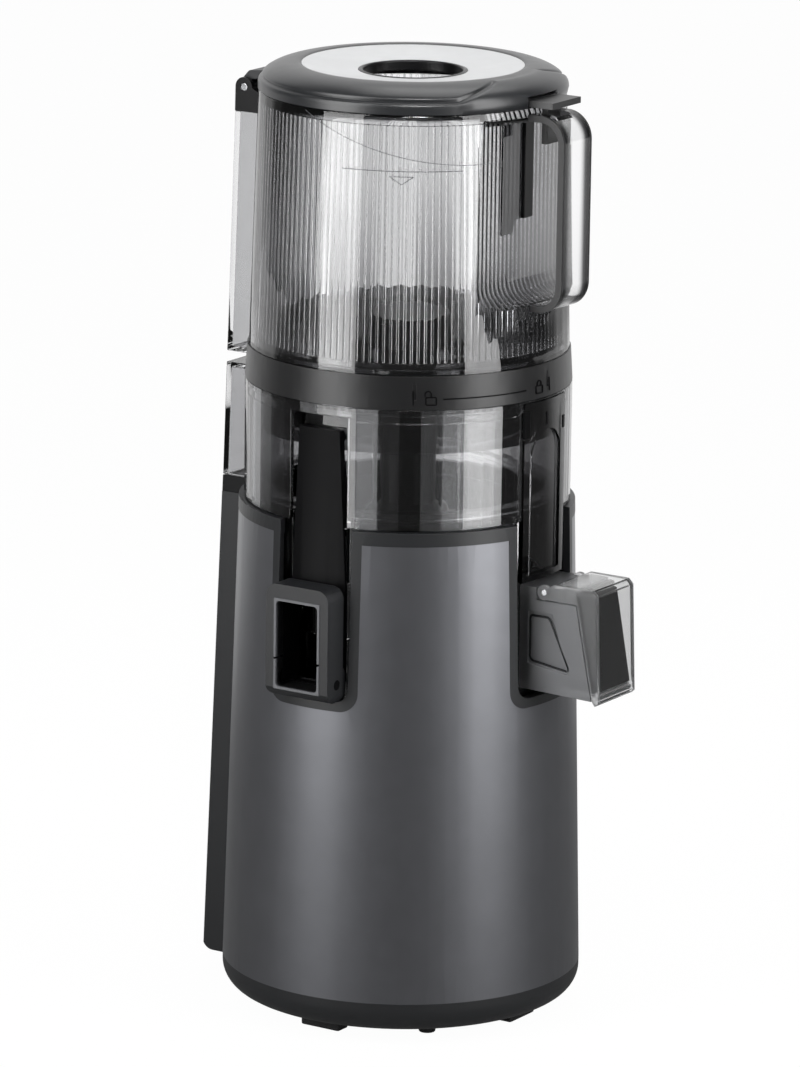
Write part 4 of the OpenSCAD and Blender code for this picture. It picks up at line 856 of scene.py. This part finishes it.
def dome_relief(angle, share):
    """How far the dome stands in or out: a groove along its climbing path, and a raised apron inside it."""
    dome_length = 21.0
    degrees_off = np.abs(np.degrees(np.angle(np.exp(1j * (angle - FRONT)))))
    climb = np.clip((APRON_LOW - degrees_off) / (APRON_LOW - APRON_HIGH), 0, 1)
    path = GROOVE_LOW + (GROOVE_HIGH - GROOVE_LOW) * climb
    off = (share - path) * dome_length / GROOVE_WIDTH
    fade = np.clip((degrees_off - APRON_HIGH) / 3, 0, 1)
    apron = 0.6 * np.clip(climb * 4, 0, 1) / (1 + np.exp(np.clip(off * 2, -30, 30)))
    return apron - GROOVE_DEPTH * fade * np.exp(-off ** 2)


lid_turns = np.linspace(0, 2 * np.pi, LID_COLUMNS, endpoint=False)
shares = np.linspace(0, 1, 44)
dome_rows = []
for share in shares:
    radius, height = dome(share)
    relief = dome_relief(lid_turns, share)
    lean = share * np.pi / 2
    dome_rows.append(polar(radius + relief * np.cos(lean), lid_turns, height + relief * np.sin(lean)))
lid_section = [
    polar(lid_r - 0.4, lid_turns, lid_low), polar(lid_r, lid_turns, lid_low + 0.4), *dome_rows,
    polar(DISH_R - 1.2, lid_turns, lid_top - 0.1), polar(DISH_R - 2, lid_turns, lid_top - 0.5),
    polar(DISH_R - 2, lid_turns, lid_top - LID_WALL - 0.6),
    polar(DISH_R + 8, lid_turns, lid_top - LID_WALL - 2.2),
    polar(lid_r - LID_WALL - 2, lid_turns, lid_edge - 1.5), polar(lid_r - LID_WALL, lid_turns, lid_low),
]
index = np.arange(len(lid_section) * LID_COLUMNS).reshape(-1, LID_COLUMNS)
above, right = np.roll(index, -1, 0), np.roll(index, -1, 1)
lid_mesh = bpy.data.meshes.new("lid_dome")
lid_mesh.from_pydata((np.concatenate(lid_section) / 1000).tolist(), [],
                     np.stack([index, right, np.roll(above, -1, 1), above], -1).reshape(-1, 4).tolist())
lid_mesh.polygons.foreach_set("use_smooth", np.ones(len(lid_mesh.polygons), bool))
lid_mesh.set_sharp_from_angle(angle=math.radians(40))
lid = bpy.data.objects.new("lid_dome", lid_mesh)
bpy.context.scene.collection.objects.link(lid)


def block(name, low, high):
    """A plain box between two corners, to cut with."""
    x0, y0, z0 = low
    x1, y1, z1 = high
    ring = np.array([(x0, y0), (x1, y0), (x1, y1), (x0, y1)], float)
    return solid(name, [np.column_stack([ring, np.full(4, z)]) for z in (z0, z1)], False)


carve(lid, block("latch_room", (-LATCH_ROOM, -100, lid_low - 1), (LATCH_ROOM, -LATCH_BACK, lid_low + 5.6)))
lid_satin = plastic("lid_satin", rgb(24, 25, 27), 0.32, 0.02, 2600, level=0.6)
settle(lid, lid_satin, "lid_cover")

pin_low, pin_high = (v * 1000 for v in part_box("hinge_pin"))
knuckle_half = pin_high.x - 2.4
hinge_y, hinge_z = (pin_low.y + pin_high.y) / 2, (pin_low.z + pin_high.z) / 2
round_back = np.radians(np.linspace(-100, 60, 14))
knuckle_side = np.array([
    (lid_r - 4, lid_low + 4.4), (lid_r - 1.6, lid_low + 0.1), (hinge_y - 3.2, hinge_z + 3.6),
    *zip(hinge_y + KNUCKLE_R * np.cos(round_back), hinge_z + KNUCKLE_R * np.sin(round_back)),
    (hinge_y - 1, lid_low + 3.4)])
knuckles = solid("lid_knuckles", [np.column_stack([np.full(len(knuckle_side), x), knuckle_side])
                                  for x in (-knuckle_half, knuckle_half)], True)
rounded(knuckles, 0.5, 28, 3)
settle(knuckles, matte_dark, "lid_cover")
satin_dish = plastic("satin_dish", rgb(174, 175, 176), 0.3, 0.004, 1800)
dressed("lid_dish", satin_dish, 0.3)
dressed("lid_collar", black_plastic, 0.4, 28, 3)
dressed("lid_gasket", silicone, 0.4)


# ---- Latch ----
# A black thumb tab on a sprung pin in the lid's edge, moulded in one with a finger
# that hooks down through the handle's slot.

dressed("latch_tab", ring_black, 0.8, 28, 3)
